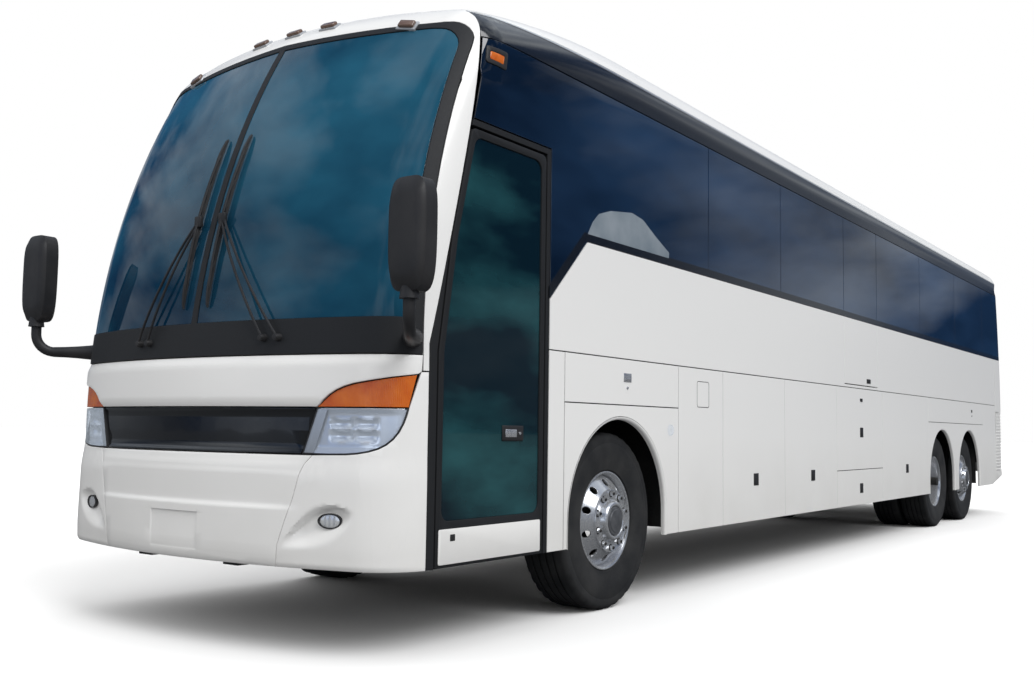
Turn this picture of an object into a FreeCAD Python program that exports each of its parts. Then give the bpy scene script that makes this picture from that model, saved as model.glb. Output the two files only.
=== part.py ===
import FreeCAD, Part
import math
import os
from FreeCAD import Vector

# Lengths are millimetres. While the coach is drawn, y runs rearwards from the
# front axle, x to the coach's left and z up from the ground.

# Body envelope
body_width = 2591.0
body_length = 13716.0
front_overhang = 2250.0
rear_end_y = body_length - front_overhang
bumper_proud = 30.0
skirt_z = 413.0
front_bow_radius = 3800.0
front_corner_radius = 330.0
rake_start_z = 1100.0
rake_radius = 4200.0
rear_bow_radius = 9000.0
rear_corner_radius = 250.0
rear_rake_start_z = 1400.0
rear_rake_radius = 9000.0
roof_crown_z = 3570.0
roof_rise = 373.0
roof_shoulder_radius = 300.0
roof_dip_y = 200.0
roof_dip_radius = 7500.0
wall = 45.0
pane = 8.0
trim_depth = 25.0
rake_stations = 7
dip_stations = 5
bow_facets = 4
corner_facets = 4
rod_sides = 8
bore_sides = 12
bend_steps = 4
overrun = 60.0
panel_gap = 8.0
seat_gap = 0.3

# Heights of the body lines
flap_seam_z = 1238.0
waist_z = 1522.0
belt_z = 2184.0
glass_drop = 450.0
glass_top_z = roof_crown_z - glass_drop
strip_drop = 283.0
strip_z = roof_crown_z - strip_drop
strip_height = 16.0
window_sill = 86.0
window_head = 70.0

# Front end, in front view
bumper_top_z = 945.0
nose_top_z = 1425.0
cheek_top_z = 1345.0
cowl_top_z = 1600.0
screen_drop = 320.0
screen_top_z = roof_crown_z - screen_drop
screen_foot_x = 1268.0
screen_head_x = 1222.0
screen_corner = 130.0
gasket_width = 48.0
screen_post = 44.0
grille_top_z = 1170.0
grille_half_top = 842.0
grille_half_foot = 767.0
lamp_outer_x = 1252.0
lamp_rise = 160.0

# Side stations
cap_line_foot_y = -1830.0
cap_line_head_y = -1400.0
cap_line_drop = 370.0
cap_line_head_z = roof_crown_z - cap_line_drop
cap_line_knee_z = 1480.0
cap_roof_y = -820.0
door_front_y = -1775.0
door_rear_y = -855.0
door_head_front_y = -1545.0
door_foot_z = 405.0
door_drop = 965.0
door_head_z = roof_crown_z - door_drop
door_knee_z = 1450.0
door_rim = 50.0
door_post = 43.0
kick_panel_z = 600.0
glass_notch_z = 1800.0
glass_notch_run = 400.0
bay_start_y = 1485.0
bay_back = 4346.0
bay_end_y = rear_end_y - bay_back
flap_shares = [0.0, 0.2138, 0.4408, 0.6891, 1.0]
flap_stations = [bay_start_y + (bay_end_y - bay_start_y) * share for share in flap_shares]
front_flap_y = [-648.0, 773.0]
rear_flap_back = [4306.0, 1466.0]
rear_flap_y = [rear_end_y - back for back in rear_flap_back]
rear_cap_back = 666.0
rear_cap_y = rear_end_y - rear_cap_back
lift_door_back = [7266.0, 6241.0]
lift_door_y = [rear_end_y - back for back in lift_door_back]
lift_sill = 30.0
divider_front_y = 1240.0
divider_backs = [8846.0, 4606.0, 2966.0, 1416.0]
divider_stations = [divider_front_y] + [rear_end_y - back for back in divider_backs]
side_glass_back = 176.0
side_glass_end = rear_end_y - side_glass_back
pillar = 90.0
glass_joint = 6.0

# Wheels and axles
tyre_radius = 535.0
tyre_width = 306.0
wheel_flats = 20
bead_radius = 287.0
bead_half = 116.0
sidewall_radius = 420.0
shoulder_radius = 508.0
shoulder_half = 146.0
tread_half = 122.0
rim_width = 240.0
rim_wall = 12.0
disc_root = 85.0
hub_face_radius = 188.0
hub_radius = 138.0
hub_cap_radius = 75.0
hub_length = 56.0
hub_root = 60.0
disc_wall = 14.0
dish_depth = 166.0
hand_holes = 10
hand_hole_radius = 22.0
hand_hole_circle = 224.0
hole_sides = 6
wheel_track = 2120.0
drive_axle_back = 3664.0
drive_axle_y = rear_end_y - drive_axle_back
tag_axle_back = 2283.0
tag_axle_y = rear_end_y - tag_axle_back
kingpin_x = 860.0
kingpin_radius = 26.0
spindle_radius = 48.0
bearing_gap = 0.06
eye_radius = 56.0
eye_height = 120.0
arm_height = 36.0
joint_gap = 6.0
steer_arm = 240.0
beam_height = 90.0
beam_run = 120.0
beam_drop = 40.0
spring_half = 110.0
axle_tube_radius = 74.0
tube_half = 540.0
housing_radius = 190.0
housing_half = 130.0
arch_half = 590.0
arch_facets = 14
arch_spring_z = 560.0

# Underframe and floors
rail_x = 420.0
rail_width = 80.0
rail_depth = 200.0
rail_foot_z = 700.0
liner = 12.0
liner_top_z = 1190.0
liner_foot_z = 450.0
liner_reach = 700.0
floor_z = 1440.0
floor_depth = 50.0
driver_floor_z = 1020.0
bay_floor_z = 450.0
bay_floor_depth = 40.0
bulkhead = 40.0
inner_half = 1235.0
post_width = 40.0
front_frame_y = -750.0
front_cross_y = 620.0
rear_frame_back = 166.0
rear_frame_y = rear_end_y - rear_frame_back
rear_cross_backs = [3066.0, 1866.0]
nose_beam_y = -1980.0
nose_beam_half = 900.0
lug_width = 30.0
lug_run = 110.0
lug_y = -2060.0
lug_foot_z = 385.0
lug_bore_radius = 22.0
deck_front_y = -780.0
stair_x = 300.0
stair_end_x = 1150.0
stair_foot_z = 440.0
stair_wall = 30.0
stair_count = 3
engine_back = [1716.0, 266.0]
engine_y = [rear_end_y - back for back in engine_back]
engine_z = [600.0, 1300.0]

# Cabin fittings
seat_end_back = 1130.0
seat_pitch = 790.0
seat_start_y = -150.0
seat_width = 940.0
aisle_half = 200.0
seat_base = 300.0
seat_height = 450.0
seat_back = 1080.0
seat_length = 480.0
seat_thick = 90.0
seat_lean = 120.0
driver_seat_width = 520.0
driver_x = -640.0
driver_seat_y = -1330.0
dash_rear_y = -1560.0
dash_depth = 240.0
dash_top_z = 1560.0
ring_radius = 225.0
ring_wire = 16.0
ring_y = -1440.0
ring_z = 1690.0
column_length = 330.0
column_lean = 50.0

# Doors, mirrors, wipers and lamps
window_lap = 20.0
door_column_radius = 20.0
door_pin_radius = 8.0
door_column_x = 1205.0
door_column_y = -1650.0
door_column_top = 1900.0
door_arm_length = 470.0
door_arm_height = 44.0
door_arm_levels = [910.0, 1800.0]
door_bar = 45.0
wiper_clearance = 2.5
wiper_pivot_x = 480.0
wiper_shift = 30.0
wiper_pivot_z = 1510.0
wiper_arm_spacing = 90.0
wiper_arm_width = 16.0
blade_offset = 95.0
blade_width = 26.0
blade_foot_z = 1680.0
blade_drop = 610.0
blade_head_z = screen_top_z - blade_drop
blade_mid_share = 0.49
bar_stations = 4
mirror_x = 1455.0
mirror_y = -2240.0
mirror_z = 1935.0
mirror_width = 215.0
mirror_depth = 110.0
mirror_height = 515.0
mirror_round = 45.0
mirror_rim = 12.0
mirror_facets = 3
mirror_root_x = 1180.0
mirror_root_z = 1500.0
mirror_arm_radius = 26.0
mirror_bend = 110.0
marker_stations = [-856.0, -276.0, 0.0, 276.0, 856.0]
marker_set = 60.0
marker_width = 125.0
marker_length = 62.0
marker_height = 30.0
engine_door_z = [880.0, 1900.0]
engine_door_half = 900.0
rear_window_drop = 100.0
rear_window_z = [2260.0, glass_top_z - rear_window_drop]
rear_window_half = 980.0
rear_depth = 500.0
tail_rise_back = 916.0
tail_foot_z = 570.0
louvre_x = 1190.0
louvre_z = [600.0, 1430.0]
tail_lamp_x = [960.0, 1130.0]
tail_lamp_z = [960.0, 1700.0]
tail_lamp_count = 3


def side_half():
    return body_width / 2


def nose_y():
    return bumper_proud - front_overhang


def box(x0, x1, y0, y1, z0, z1):
    return Part.makeBox(x1 - x0, y1 - y0, z1 - z0, Vector(x0, y0, z0))


def mirrored(shape):
    return shape.mirror(Vector(0, 0, 0), Vector(1, 0, 0))


def both_sides(shape):
    return Part.makeCompound([shape, mirrored(shape)])


def side_prism(outline, x0, x1):
    """Solid between two x planes with the given (y, z) outline."""
    return polygon([Vector(x0, y, z) for y, z in outline]).extrude(Vector(x1 - x0, 0, 0))


def front_prism(outline, y0, y1):
    """Solid between two y planes with the given (x, z) outline."""
    return polygon([Vector(x, y0, z) for x, z in outline]).extrude(Vector(0, y1 - y0, 0))


def setback(radius, start_z, z):
    rise = max(z - start_z, 0)
    return radius - math.sqrt(radius ** 2 - rise ** 2)


def envelope(inset):
    """The body's outer form, or that form moved in by inset and open below."""
    foot_z = skirt_z if inset == 0 else skirt_z - overrun
    solid = plan_solid(inset, foot_z).common(roof_solid(inset, foot_z - overrun))
    return solid.removeSplitter()


def cap_line_y(z):
    """The y of the line where the front cap ends on the body side."""
    if z <= cap_line_knee_z:
        return cap_line_foot_y
    share = (z - cap_line_knee_z) / (cap_line_head_z - cap_line_knee_z)
    return cap_line_foot_y + (cap_line_head_y - cap_line_foot_y) * share


def door_outline(grow):
    """Side outline of the entry door's leaf, grown by grow on every edge."""
    return [(door_front_y - grow, door_foot_z - grow),
            (door_rear_y + grow, door_foot_z - grow),
            (door_rear_y + grow, door_head_z + grow),
            (door_head_front_y - grow, door_head_z + grow),
            (door_front_y - grow, door_knee_z)]


def flank(y0, y1, z0, z1, depth):
    """A slab of the left body side, its outer face on the body's side plane."""
    half = side_half()
    return box(half - depth, half, y0, y1, z0, z1)


def arch_cut(axle_y):
    """Wheel arch through the left flank: upright legs and a round crown."""
    half = side_half()
    outline = [(axle_y - arch_half, skirt_z - overrun), (axle_y + arch_half, skirt_z - overrun)]
    for i in range(arch_facets + 1):
        turn = math.pi * i / arch_facets
        outline.append((axle_y + arch_half * math.cos(turn), arch_spring_z + arch_half * math.sin(turn)))
    return side_prism(outline, half - wall - overrun, half + overrun)


def window_cuts(stations):
    """Openings through the side structure behind the flush glass."""
    half = side_half()
    cuts = []
    for start, end in zip(stations[:-1], stations[1:]):
        outline = [(start + pillar / 2, belt_z + window_sill), (end - pillar / 2, belt_z + window_sill),
                   (end - pillar / 2, glass_top_z - window_head), (start + pillar / 2, glass_top_z - window_head)]
        cuts.append(side_prism(outline, half - wall - overrun, half + overrun))
    return cuts


def side_wall(skin, glass_layer, is_door_side):
    """Body side from the door post, or from the front cap, to the rear cap."""
    half = side_half()
    start = door_rear_y + door_post if is_door_side else cap_line_foot_y
    region = box(half - front_corner_radius, half + overrun, start, rear_cap_y, skirt_z, glass_top_z)
    panel = skin.common(region)
    if not is_door_side:
        panel = panel.cut(front_of_cap_line(overrun))
    panel = panel.cut(glass_layer.common(side_glass_prism(is_door_side)))
    panel = panel.cut(flank(flap_stations[0], flap_stations[-1], skirt_z - overrun, waist_z, wall + overrun))
    for axle_y in (0, drive_axle_y, tag_axle_y):
        panel = panel.cut(arch_cut(axle_y))
    for y0, y1 in (front_flap_y, rear_flap_y):
        panel = panel.cut(flank(y0, y1, flap_seam_z, waist_z, wall + overrun))
    first = door_rear_y + door_post + glass_notch_run
    stations = [first] + divider_stations[:2] + lift_door_y + divider_stations[2:] + [rear_cap_y]
    cuts = window_cuts(stations)
    if is_door_side:
        cuts.append(flank(lift_door_y[0], lift_door_y[1], waist_z + lift_sill, lift_door_top(), wall + overrun))
    else:
        corner = driver_window()
        cuts.append(corner)
    for cut in cuts:
        panel = panel.cut(cut)
    return panel


def front_of_cap_line(reach):
    """Everything ahead of the line where the front cap meets the sides."""
    far = -front_overhang - overrun - reach
    half = side_half()
    outline = [(far, skirt_z - overrun), (cap_line_foot_y, skirt_z - overrun),
               (cap_line_foot_y, cap_line_knee_z), (cap_line_y(strip_z), strip_z),
               (cap_line_y(strip_z), roof_crown_z + overrun), (far, roof_crown_z + overrun)]
    return side_prism(outline, -half - overrun, half + overrun)


def screen_prism(inset):
    """Front outline of the windscreen opening, moved in by inset, as a prism."""
    foot = screen_foot_x - inset
    head = screen_head_x - inset
    top = screen_top_z - inset
    corner = screen_corner - inset
    centre_x = head - corner
    outline = []
    for i in range(corner_facets + 1):
        turn = math.pi / 2 * i / corner_facets
        outline.append((centre_x + corner * math.cos(turn), top - corner + corner * math.sin(turn)))
    corners = [(foot, cowl_top_z)] + outline + [(-x, z) for x, z in reversed(outline)] + [(-foot, cowl_top_z)]
    return front_prism(corners, -front_overhang - overrun, 0)


def cowl_prism(foot_z):
    half = screen_foot_x + (screen_foot_x - screen_head_x) * (cowl_top_z - foot_z) / (screen_top_z - cowl_top_z)
    outline = [(-half, foot_z), (half, foot_z), (screen_foot_x, cowl_top_z), (-screen_foot_x, cowl_top_z)]
    return front_prism(outline, -front_overhang - overrun, cap_line_foot_y + overrun)


def lamp_prism(z0, z1):
    """Front outline of the left lamp unit between two heights."""
    outline = [(grille_half_foot, bumper_top_z), (lamp_outer_x - lamp_rise, bumper_top_z),
               (lamp_outer_x, grille_top_z - lamp_rise / 2), (lamp_outer_x, grille_top_z + lamp_rise),
               (lamp_outer_x - lamp_rise, grille_top_z + lamp_rise - pane),
               (grille_half_top, grille_top_z)]
    whole = front_prism(outline, -front_overhang - overrun, cap_line_foot_y)
    return whole.common(box(0, side_half(), -front_overhang - overrun, cap_line_foot_y, z0, z1))


def grille_prism():
    outline = [(-grille_half_foot, bumper_top_z), (grille_half_foot, bumper_top_z),
               (grille_half_top, grille_top_z), (-grille_half_top, grille_top_z)]
    return front_prism(outline, -front_overhang - overrun, cap_line_foot_y)


def nose_panel(skin):
    """White panel between bumper and cowl, open where lamps and grille sit."""
    half = side_half()
    region = box(-half, half, -front_overhang - overrun, cap_line_foot_y, bumper_top_z, nose_top_z)
    panel = skin.common(region).cut(grille_prism())
    for lamp in (lamp_prism(skirt_z, roof_crown_z), mirrored(lamp_prism(skirt_z, roof_crown_z))):
        panel = panel.cut(lamp)
    return panel


def bumper_form(inset):
    """Bumper block, standing proud of the nose, from skirt to bumper top."""
    ring = [corner - Vector(0, bumper_proud, 0) for corner in plan_ring(skirt_z, inset)]
    return polygon(ring).extrude(Vector(0, 0, bumper_top_z - skirt_z))


def bumper_shell():
    half = side_half()
    shell = bumper_form(0).cut(bumper_form(wall))
    region = box(-half, half, -front_overhang - overrun, cap_line_foot_y, skirt_z, bumper_top_z)
    return shell.common(region)


def front_cap(skin):
    """White frame round the windscreen, with the roof's front lip."""
    half = side_half()
    region = box(-half, half, -front_overhang - overrun, 0, nose_top_z, roof_crown_z + overrun)
    frame = skin.common(region)
    ahead = front_of_cap_line(overrun).common(region)
    crown = box(-half, half, -front_overhang - overrun, cap_roof_y, strip_z + strip_height, roof_crown_z)
    frame = frame.common(ahead.fuse(crown))
    return frame.cut(screen_prism(0)).cut(cowl_prism(nose_top_z - overrun))


def windscreen_surround(skin):
    layer = skin.common(screen_prism(0)).common(front_of_cap_line(overrun))
    panes = screen_prism(gasket_width)
    post = box(-screen_post / 2, screen_post / 2, -front_overhang, 0, cowl_top_z, screen_top_z)
    return layer.cut(panes.cut(post))


def windscreen_panes(glass_layer):
    post = box(-screen_post / 2, screen_post / 2, -front_overhang, 0, cowl_top_z, screen_top_z)
    return glass_layer.common(screen_prism(gasket_width)).cut(post)


def roof_panel(skin):
    half = side_half()
    region = box(-half, half, cap_roof_y, rear_cap_y, strip_z + strip_height, roof_crown_z)
    return skin.common(region)


def cove_panel(skin):
    """Curved black cove under the roof edge, on the left side."""
    half = side_half()
    region = box(0, half, cap_line_head_y - overrun, rear_cap_y, glass_top_z, strip_z)
    cove = skin.common(region).cut(front_of_cap_line(overrun))
    return cove


def roof_strip(skin):
    half = side_half()
    region = box(0, half, cap_line_head_y - overrun, rear_cap_y, strip_z, strip_z + strip_height)
    return skin.common(region).cut(front_of_cap_line(overrun))


def turned(profile):
    """Solid turned about the x axis from (x, radius) corners, drawn with flats.

    One flat is at the bottom, and the flats, not the corners, lie at the radius.
    """
    step = 2 * math.pi / wheel_flats
    rings = []
    for i in range(wheel_flats):
        turn = (i + 1 / 2) * step
        rings.append([Vector(x, radius / math.cos(step / 2) * math.sin(turn),
                             -radius / math.cos(step / 2) * math.cos(turn)) for x, radius in profile])
    return stacked(rings, True)


def tyre():
    half = tyre_width / 2
    flank = [(bead_half, bead_radius), (half, sidewall_radius),
             (shoulder_half, shoulder_radius), (tread_half, tyre_radius)]
    return turned(flank + [(-x, radius) for x, radius in reversed(flank)])


def disc_wheel(bore):
    """Rim with its pierced disc and hub; the disc's face looks towards +x."""
    half = rim_width / 2
    seat = bead_radius - seat_gap
    well = seat - rim_wall
    face = dish_depth
    back = face - disc_wall
    profile = [(-half, well), (-half, seat), (half, seat), (half, well),
               (disc_root, well), (face, hub_face_radius), (face, hub_radius),
               (face + hub_length, hub_cap_radius), (face + hub_length, bore),
               (hub_root, bore), (hub_root, hub_radius), (back, hub_face_radius - disc_wall),
               (disc_root - disc_wall, well)]
    body = turned(profile)
    for i in range(hand_holes):
        corners = []
        for k in range(hole_sides):
            angle = 2 * math.pi * (k + 1 / 2) / hole_sides
            corners.append(Vector(0, hand_hole_radius * math.sin(angle),
                                  hand_hole_radius * math.cos(angle) - hand_hole_circle))
        hole = polygon(corners).extrude(Vector(half + dish_depth, 0, 0))
        hole.rotate(Vector(0, 0, 0), Vector(1, 0, 0), i * 360 / hand_holes)
        body = body.cut(hole)
    return body


def inner_rim():
    """Inner rim of a twin, its disc bolted back to back with the outer one."""
    half = rim_width / 2
    seat = bead_radius - seat_gap
    well = seat - rim_wall
    back = dish_depth - disc_wall
    profile = [(-half, well), (-half, seat), (half, seat), (half, well),
               (disc_root, well), (dish_depth, hub_face_radius), (dish_depth, hub_radius + seat_gap),
               (back, hub_radius + seat_gap), (back, hub_face_radius - disc_wall), (disc_root - disc_wall, well)]
    return turned(profile)


def at_axle(shape, x, y):
    moved = shape.copy()
    moved.translate(Vector(x, y, tyre_radius))
    return moved


def front_knuckle():
    """Left knuckle: kingpin, two arms round the beam's eye, and the spindle."""
    axle_z = tyre_radius
    x = kingpin_x
    low = axle_z - eye_height / 2 - joint_gap
    high = axle_z + eye_height / 2 + joint_gap
    pin = journal(Vector(x, 0, low - arm_height), Vector(x, 0, high + arm_height), kingpin_radius)
    web_x = x + eye_radius + joint_gap * 2
    parts = []
    for z in (low - arm_height, high):
        parts.append(upright(x, 0, z, z + arm_height, eye_radius))
        parts.append(box(x, web_x + arm_height, -eye_radius, eye_radius, z, z + arm_height))
    web = box(web_x, web_x + arm_height, -eye_radius, eye_radius, low - arm_height, high + arm_height)
    shaft = spindle(web_x, wheel_track / 2 + dish_depth, 0)
    lever = box(x - eye_radius, x, 0, steer_arm, high, high + arm_height)
    return pin.multiFuse(parts + [web, shaft, lever]).removeSplitter()


def front_beam():
    """Front axle beam between the kingpin eyes, dropped in its middle."""
    low = tyre_radius - eye_height / 2
    high = low + beam_height
    xs = [kingpin_x, kingpin_x - beam_run, kingpin_x - 2 * beam_run]
    under = list(zip(xs, [low, low, low - beam_drop]))
    over = list(zip(xs, [high, high, high - beam_drop]))
    outline = under + [(-x, z) for x, z in reversed(under)] + [(-x, z) for x, z in over] + over[::-1]
    parts = [upright(x, 0, low, low + eye_height, eye_radius) for x in (-kingpin_x, kingpin_x)]
    for x in (-rail_x, rail_x):
        parts.append(box(x - rail_width / 2, x + rail_width / 2, -spring_half, spring_half,
                         high - beam_drop, rail_foot_z))
    beam = front_prism(outline, -eye_radius, eye_radius).multiFuse(parts)
    for x in (-kingpin_x, kingpin_x):
        beam = bored(beam, x, 0, low - overrun, low + eye_height + overrun, kingpin_radius)
    return beam.removeSplitter()


def cabin_floor(inner):
    """Passenger deck, driver's floor with its riser, and the entry stairs."""
    half = side_half()
    deck = box(-half, half, deck_front_y, rear_cap_y, floor_z - floor_depth, floor_z)
    well_y = door_front_y - stair_wall
    driver = box(-half, stair_x, -front_overhang, deck_front_y + floor_depth,
                 driver_floor_z - floor_depth, driver_floor_z)
    ahead = box(-half, half, -front_overhang, well_y, driver_floor_z - floor_depth, driver_floor_z)
    riser = box(-half, half, deck_front_y, deck_front_y + floor_depth,
                driver_floor_z - floor_depth, floor_z)
    well = box(stair_x, stair_end_x, well_y - stair_wall, well_y, stair_foot_z - stair_wall, driver_floor_z)
    cheek = box(stair_x, stair_end_x, deck_front_y, deck_front_y + stair_wall,
                stair_foot_z - stair_wall, driver_floor_z)
    parts = [driver, ahead, riser, well, cheek]
    tread = (stair_end_x - stair_x) / (stair_count + 1)
    rise = (driver_floor_z - stair_foot_z) / (stair_count + 1)
    for i in range(stair_count + 1):
        x0 = stair_end_x - (i + 1) * tread
        z1 = stair_foot_z + i * rise
        x1 = inner_half if i == 0 else x0 + tread
        parts.append(box(x0, x1, well_y, deck_front_y + stair_wall, z1 - stair_wall, z1))
        parts.append(box(x0, x0 + stair_wall, well_y, deck_front_y + stair_wall, z1 - stair_wall, z1 + rise))
    return deck.multiFuse(parts).common(inner).removeSplitter()


def seat_pair(x, y):
    """One double seat, as a plain cushion and back on the deck."""
    outline = [(y, floor_z + seat_base), (y, floor_z + seat_height), (y + seat_length - seat_thick, floor_z + seat_height),
               (y + seat_length + seat_lean - seat_thick / 2, floor_z + seat_back),
               (y + seat_length + seat_lean, floor_z + seat_back), (y + seat_length, floor_z + seat_base)]
    pair = side_prism(outline, x, x + seat_width)
    legs = box(x + seat_width / 2 - seat_thick / 2, x + seat_width / 2 + seat_thick / 2,
               y + seat_thick, y + seat_length - seat_thick, floor_z, floor_z + seat_base)
    return pair.fuse(legs)


def passenger_seats():
    rows = int((rear_end_y - seat_end_back - seat_start_y) / seat_pitch)
    seats = []
    for i in range(rows):
        y = seat_start_y + i * seat_pitch
        seats.append(seat_pair(aisle_half, y))
        seats.append(seat_pair(-aisle_half - seat_width, y))
    return Part.makeCompound(seats)


def driver_seat():
    seat = seat_pair(0, 0)
    z = driver_floor_z - floor_z
    narrow = seat.common(box(0, driver_seat_width, -overrun, seat_length + 2 * seat_lean, floor_z,
                             floor_z + seat_back))
    legs = box(driver_seat_width / 2 - seat_thick / 2, driver_seat_width / 2 + seat_thick / 2,
               seat_thick, seat_length - seat_thick, floor_z, floor_z + seat_base)
    narrow = narrow.fuse(legs)
    narrow.translate(Vector(driver_x - driver_seat_width / 2, driver_seat_y, z))
    return narrow


def dashboard(inner):
    """Dash with its binnacle, the steering column and the wheel."""
    half = side_half()
    outline = [(-front_overhang, driver_floor_z), (dash_rear_y - dash_depth, driver_floor_z),
               (dash_rear_y, dash_top_z - dash_depth / 2), (dash_rear_y - dash_depth / 2, dash_top_z),
               (-front_overhang, dash_top_z)]
    dash = side_prism(outline, -half, stair_x)
    wing = box(stair_x, half, -front_overhang, door_front_y - stair_wall, driver_floor_z, dash_top_z)
    dash = dash.fuse(wing).common(inner)
    grip = ring_wire
    wheel = turned([(-grip, ring_radius), (0, ring_radius - grip), (grip, ring_radius), (0, ring_radius + grip)])
    spokes = box(-grip / 2, grip / 2, -ring_radius, ring_radius, -grip, grip)
    column = rod([Vector(-column_length, 0, 0), Vector(0, 0, 0)], 2 * grip)
    unit = wheel.multiFuse([spokes, column])
    unit.rotate(Vector(0, 0, 0), Vector(0, 0, 1), 90)
    unit.rotate(Vector(0, 0, 0), Vector(1, 0, 0), column_lean)
    unit.translate(Vector(driver_x, ring_y, ring_z))
    return dash.fuse(unit)


def flap_panel(y0, y1, z0, z1):
    """Flap on the left flank, hung at its top, with a gap at its other edges."""
    return flank(y0 + panel_gap / 2, y1 - panel_gap / 2, z0, z1, wall)


def luggage_flap(index):
    return flap_panel(flap_stations[index], flap_stations[index + 1], skirt_z, waist_z)


def service_flap(span):
    return flap_panel(span[0], span[1], flap_seam_z + panel_gap, waist_z)


def door_leaf(skin, glass_layer):
    """Entry door's leaf, its frame open behind the glass, with two cross bars."""
    half = side_half()
    leaf = skin.common(side_prism(door_outline(0), 0, half + overrun))
    leaf = leaf.cut(glass_layer.common(door_glass_prism(0)))
    leaf = leaf.cut(door_glass_prism(window_lap))
    bars = []
    for z in door_arm_levels:
        top = z + door_arm_height
        bars.append(box(half - wall, half - wall / 2, door_front_y + door_rim / 2, door_rear_y - door_rim / 2,
                        top, top + door_bar))
    leaf = leaf.multiFuse(bars).common(side_prism(door_outline(0), 0, half))
    return leaf.multiFuse(door_brackets())


def door_glass_prism(inset):
    """Outline of the door's glass, moved in by inset, as a prism through it."""
    half = side_half()
    rim = door_rim + inset
    outline = [(door_front_y + rim, kick_panel_z + inset), (door_rear_y - rim, kick_panel_z + inset),
               (door_rear_y - rim, door_head_z - rim), (door_head_front_y + rim, door_head_z - rim),
               (door_front_y + rim, door_knee_z)]
    return side_prism(outline, 0, half + overrun)


def door_surround(skin):
    """Black frame between the front cap, the door and the side panel."""
    half = side_half()
    frame = skin.common(side_prism(door_outline(door_post), 0, half + overrun))
    frame = frame.cut(side_prism(door_outline(joint_gap), 0, half + overrun))
    frame = frame.cut(front_of_cap_line(overrun))
    frame = frame.common(box(0, half, -front_overhang, 0, skirt_z, roof_crown_z))
    x0 = door_column_x - door_column_radius
    edge = door_edge_y(door_column_top) - joint_gap
    top = door_column_top + door_column_radius
    hanger = box(x0, half - wall - panel_gap, edge - door_column_radius, door_column_y + door_column_radius,
                 door_column_top, top)
    lug = box(x0, half - wall / 2, edge - door_column_radius, edge, door_column_top, top)
    return frame.multiFuse([hanger, lug])


def door_arms():
    """Pivot column inside the doorway with two swing arms to the leaf."""
    x = door_column_x
    column = upright(x, door_column_y, stair_foot_z, door_column_top, door_column_radius)
    end_y = door_column_y + door_arm_length
    arms = []
    for z in door_arm_levels:
        top = z + door_arm_height
        arm = box(x - door_column_radius, x + door_column_radius, door_column_y, end_y, z, top)
        arm = arm.fuse(upright(x, end_y, z, top, door_column_radius))
        arms.append(bored(arm, x, end_y, z - overrun, top + overrun, door_pin_radius))
    return column.multiFuse(arms).removeSplitter()


def lift_door():
    y0, y1 = lift_door_y
    leaf = flank(y0, y1 - panel_gap, waist_z + lift_sill + panel_gap, lift_door_top() - panel_gap, wall)
    leaf = leaf.cut(flank(y0, y1, belt_z, lift_door_top(), pane))
    half = side_half()
    return leaf.cut(box(half - wall, half, y0 + pillar / 2, y1 - pillar / 2,
                        belt_z + window_sill, glass_top_z - window_head))


def lift_door_top():
    return glass_top_z - window_head + pillar / 2


def lift_door_glass():
    y0, y1 = lift_door_y
    return flank(y0 + panel_gap / 2, y1 - panel_gap, belt_z, lift_door_top() - panel_gap, pane)


def side_glass(glass_layer, is_door_side):
    """Flush panes on the left flank, parted by open joints."""
    half = side_half()
    band = glass_layer.common(side_glass_prism(is_door_side))
    stations = divider_stations
    if is_door_side:
        y0, y1 = lift_door_y
        band = band.cut(box(0, half, y0 - panel_gap / 2, y1, belt_z - overrun, lift_door_top()))
    else:
        stations = divider_stations + lift_door_y
    for y in stations:
        band = band.cut(box(0, half, y - glass_joint / 2, y + glass_joint / 2, belt_z - overrun, glass_top_z))
    return band


def wipers(outer):
    """Two parked wipers: a pair of arms and an upright blade on each pane."""
    rods = []
    blade_mid_z = blade_foot_z + (blade_head_z - blade_foot_z) * blade_mid_share
    for side in (1, -1):
        blade_x = side * blade_offset
        parts = [screen_bar(blade_x, blade_x, blade_foot_z, blade_head_z, blade_width)]
        for k in (0, 1):
            foot_x = side * wiper_pivot_x + wiper_shift + k * wiper_arm_spacing
            parts.append(screen_bar(foot_x, blade_x, wiper_pivot_z, blade_mid_z, wiper_arm_width))
            seat = screen_y(foot_x, wiper_pivot_z, -overrun)
            parts.append(rod([Vector(foot_x, seat, wiper_pivot_z),
                              Vector(foot_x, seat - overrun - 2 * wiper_arm_width, wiper_pivot_z)], wiper_arm_width))
        rods.append(parts[0].multiFuse(parts[1:]).cut(outer))
    return Part.makeCompound(rods)


def screen_y(x, z, proud):
    """The y of a point standing proud of the windscreen's flats at (x, z)."""
    nose = end_corners(side_half(), front_bow_radius, front_corner_radius)
    reach = between([(across, back) for across, back in reversed(nose)], abs(x))
    back = between([(level, setback(rake_radius, rake_start_z, level)) for level in rake_levels()], z)
    return nose_y() + back - reach - proud


def screen_bar(x0, x1, z0, z1, width):
    """Slim bar that follows the windscreen between two points on it."""
    rings = []
    for i in range(bar_stations + 1):
        share = i / bar_stations
        x = x0 + (x1 - x0) * share
        z = z0 + (z1 - z0) * share
        y = screen_y(x, z, wiper_clearance)
        rings.append([Vector(x - width / 2, y, z), Vector(x + width / 2, y, z),
                      Vector(x + width / 2, y - width, z), Vector(x - width / 2, y - width, z)])
    return Part.makeLoft([Part.makePolygon(ring + ring[:1]) for ring in rings], True, True)


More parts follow.
